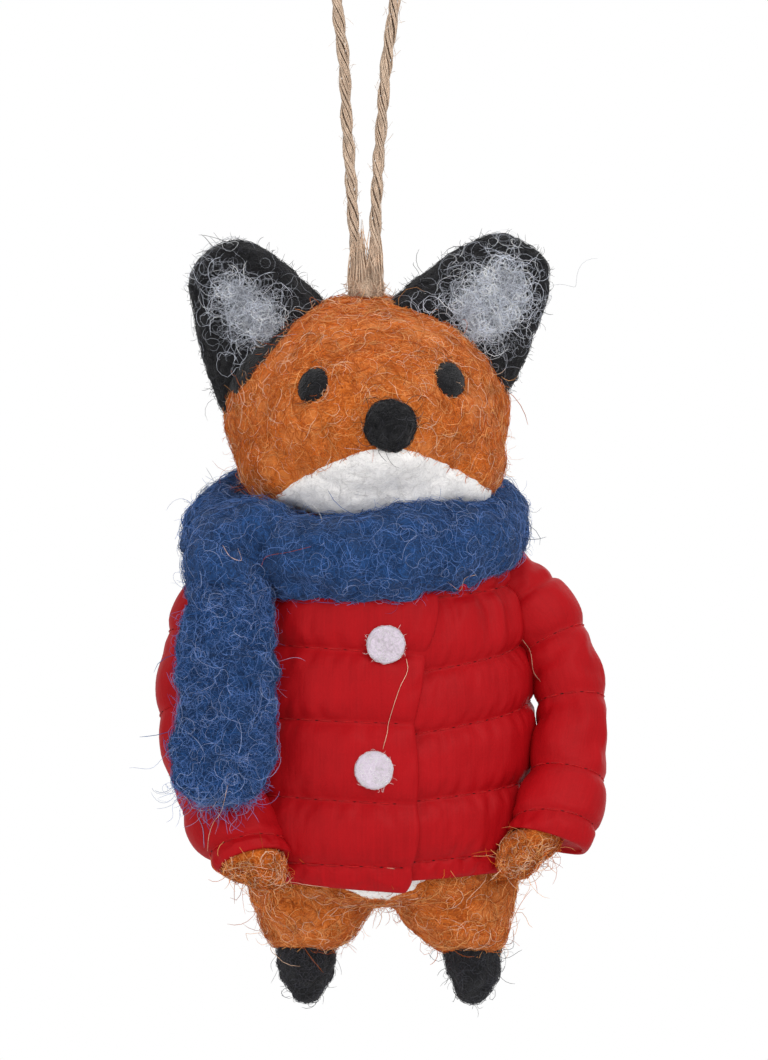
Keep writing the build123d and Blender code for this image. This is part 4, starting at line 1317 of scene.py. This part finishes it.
class FOX_OT_buttons(bpy.types.Operator):
    """Puts the two felt buttons on the lapped edge"""

    bl_idname = "fox.buttons"
    bl_label = "Buttons"

    def execute(self, context):
        for number, name in enumerate(("top_button", "bottom_button")):
            low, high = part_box(name)
            middle = (low + high) / 2
            middle.y = low.y + BUTTON_MIDDLE * MM
            rings = stack(middle, middle - FRONT * MM, LEFT, UP, (BUTTON_RADIUS, BUTTON_RADIUS), BUTTON_RIM, 1)
            button = matted(f"{name}_felt", lofted(rings, 40), "button", 71 + number, "felt", [name])
            fibres(f"{name}_wool", button, 73 + number, "button_wool")
        return {"FINISHED"}


class FOX_OT_scarf(bpy.types.Operator):
    """Felts the scarf's band and its hanging end"""

    bl_idname = "fox.scarf"
    bl_label = "Scarf"

    def execute(self, context):
        band = self.band()
        hinge = spot(*SCARF_HINGE)
        end = self.end(hinge)
        for name, base, seed in (("scarf_wrap", band, 85), ("scarf_end", end, 90)):
            layers = [
                fibres(f"{name}_{kind}", base, seed + step)
                for kind, step in (("wool", 0), ("top_wool", 1), ("curls", 3), ("fuzz", 2))
            ]
            if base is end:
                foot = min(vert.co.z for vert in end.data.vertices)
                wisps = fibres(
                    "scarf_end_wisps", end, seed + 4, where=lambda p: p.z * MM < foot + 3.5 * MM, comb=UP * -2.5,
                )
                for obj in (*layers, wisps):
                    self.hang(obj, hinge)
        return {"FINISHED"}

    def hang(self, obj, hinge):
        """Frees a piece of the hanging end from its body and bakes its place into its mesh."""
        obj.parent = None
        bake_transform(obj)

    def band(self):
        """The band, from under its crossing at the fox's right, round the neck and back over it."""
        tilt = radians(SCARF_TILT)
        normal = Vector((0, -sin(tilt), cos(tilt)))
        ahead = Vector((0, -cos(tilt), -sin(tilt)))
        hub = spot(*SCARF_HUB)
        wide, deep = SCARF_HALF
        rings = []
        for step in range(SCARF_STEPS + 1):
            over = step / SCARF_STEPS
            angle = radians(SCARF_START + SCARF_TURN * step / SCARF_STEPS)
            out = LEFT * sin(angle) + ahead * cos(angle)
            lift = 0.8 * fade(over, 0.86, 1.0) - 1.6 * fade(0.1 - over, 0, 0.1)
            swell = 1 + 0.07 * sin(angle * 3 + 1) + 0.05 * sin(angle * 7)
            centre = hub + LEFT * (wide + lift) * sin(angle) * MM + ahead * (deep + lift) * cos(angle) * MM
            centre += normal * (0.9 * sin(angle * 2 + 0.6) + 0.4 * sin(angle)) * MM
            end = 0.55 + 0.45 * fade(min(over, 1 - over), 0, 0.04)
            rings.append(ring(centre, out, normal, SCARF_BAND[0] * swell * end, SCARF_BAND[1] * swell * end))
        bm = lofted(rings, 24)
        for middle, halves in SCARF_FOLD:
            ball(bm, spot(*middle), halves=halves, detail=3)
        wrap = matted("scarf_wrap_felt", bm, "scarf_wrap", 81, "blue", ["scarf_wrap"])
        return wrap

    def end(self, hinge):
        """The hanging end, which leans a little to the front."""
        lean = radians(SCARF_END_LEAN)
        run = Vector((0, -sin(lean), -cos(lean)))
        drift = LEFT * 0.4 * MM
        foot = hinge + run * SCARF_END_LENGTH * MM - drift
        rings = stack(hinge + drift, foot, LEFT, run.cross(LEFT), SCARF_END_HALF, SCARF_END_SHARES, 3)
        end = matted("scarf_end_felt", lofted(rings, 28), "scarf_end", 83, "blue", ["scarf_end"], "scarf_end")
        self.hang(end, hinge)
        return end


STRAY_RADIUS = 0.045
# Single hairs that lie on the fox: their tint and body, and places across and down from the crown
STRAYS = (
    (0, "fox", ((6.4, 58.2), (6.6, 60.2), (5.3, 63.0), (3.7, 68.0), (3.4, 69.9), (2.7, 72.5))),
    (1, "fox", ((-16.6, 43.8), (-15.7, 42.1), (-12.2, 41.4), (-8.6, 40.5))),
    (0, "fox", ((-22.6, 40.3), (-21.4, 42.1), (-19.7, 42.7), (-20.2, 40.8))),
    (0, "fox", ((13.1, 46.2), (15.0, 47.5), (15.7, 45.6), (17.6, 45.0))),
    (0, "scarf_end", ((-21.6, 77.9), (-22.7, 82.1), (-24.0, 84.0), (-24.8, 86.2), (-25.1, 88.8))),
    (0, "scarf_end", ((-28.5, 79.5), (-26.9, 82.1), (-24.6, 82.1), (-23.4, 80.5))),
    (2, "scarf_end", ((-26.4, 77.6), (-26.1, 81.8), (-26.7, 83.0), (-25.8, 85.1), (-25.6, 88.2))),
    (0, "fox", ((25.1, 55.5), (26.4, 57.4), (26.9, 60.6), (28.0, 62.2))),
    (0, "fox", ((-23.0, 92.0), (-18.6, 91.0), (-13.3, 92.0), (-11.2, 93.9), (-5.8, 94.6))),
)


class FOX_OT_strays(bpy.types.Operator):
    """Lays a few single hairs over the jacket and the scarf"""

    bl_idname = "fox.strays"
    bl_label = "Stray hairs"

    def execute(self, context):
        tints = [stuff("orange")[2][3], stuff("orange")[2][1], stuff("blue")[2][3]]
        context.view_layer.update()
        shapes = context.evaluated_depsgraph_get()
        found = {"fox": [], "scarf_end": []}
        for tone, body, route in STRAYS:
            line = []
            for across, drop in smooth_rows(route, 4):
                hit, place, *_ = context.scene.ray_cast(shapes, spot(across, -90, drop), -FRONT)
                if hit:
                    line.append(place + FRONT * 0.12 * MM)
            found[body].append((line, tone))
        for body, entries in found.items():
            lines, tones = zip(*entries)
            threads(f"{body}_stray_hairs", lines, [STRAY_RADIUS] * len(lines), tints, tones, body)
        return {"FINISHED"}


OPERATORS = (
    FOX_OT_stage, FOX_OT_twine, FOX_OT_head, FOX_OT_ears, FOX_OT_body, FOX_OT_paws, FOX_OT_jacket, FOX_OT_sleeves,
    FOX_OT_buttons, FOX_OT_scarf, FOX_OT_strays,
)


class FOX_PT_panel(bpy.types.Panel):
    """Lists the pieces of the fox with their sizes and colours"""

    bl_label = "Felt fox"
    bl_space_type = "VIEW_3D"
    bl_region_type = "UI"
    bl_category = "Fox"

    def draw(self, context):
        for group in (context.scene.fox_sizes, context.scene.fox_colours):
            for key in group.bl_rna.properties.keys():
                if key not in ("rna_type", "name"):
                    self.layout.prop(group, key)
        for operator in OPERATORS:
            self.layout.operator(operator.bl_idname)


CLASSES = (FoxSizes, FoxColours, *OPERATORS, FOX_PT_panel)


def register():
    """Registers the classes and the properties."""
    for cls in CLASSES:
        bpy.utils.register_class(cls)
    bpy.types.Scene.fox_sizes = bpy.props.PointerProperty(type=FoxSizes)
    bpy.types.Scene.fox_colours = bpy.props.PointerProperty(type=FoxColours)


def unregister():
    """Takes the properties and the classes away."""
    del bpy.types.Scene.fox_colours
    del bpy.types.Scene.fox_sizes
    for cls in reversed(CLASSES):
        bpy.utils.unregister_class(cls)


def main():
    """Builds every piece in order."""
    register()
    for operator in OPERATORS:
        getattr(bpy.ops.fox, operator.bl_idname.split(".")[1])()
    bpy.data.objects.remove(thread_section())


if __name__ == "__main__":
    main()
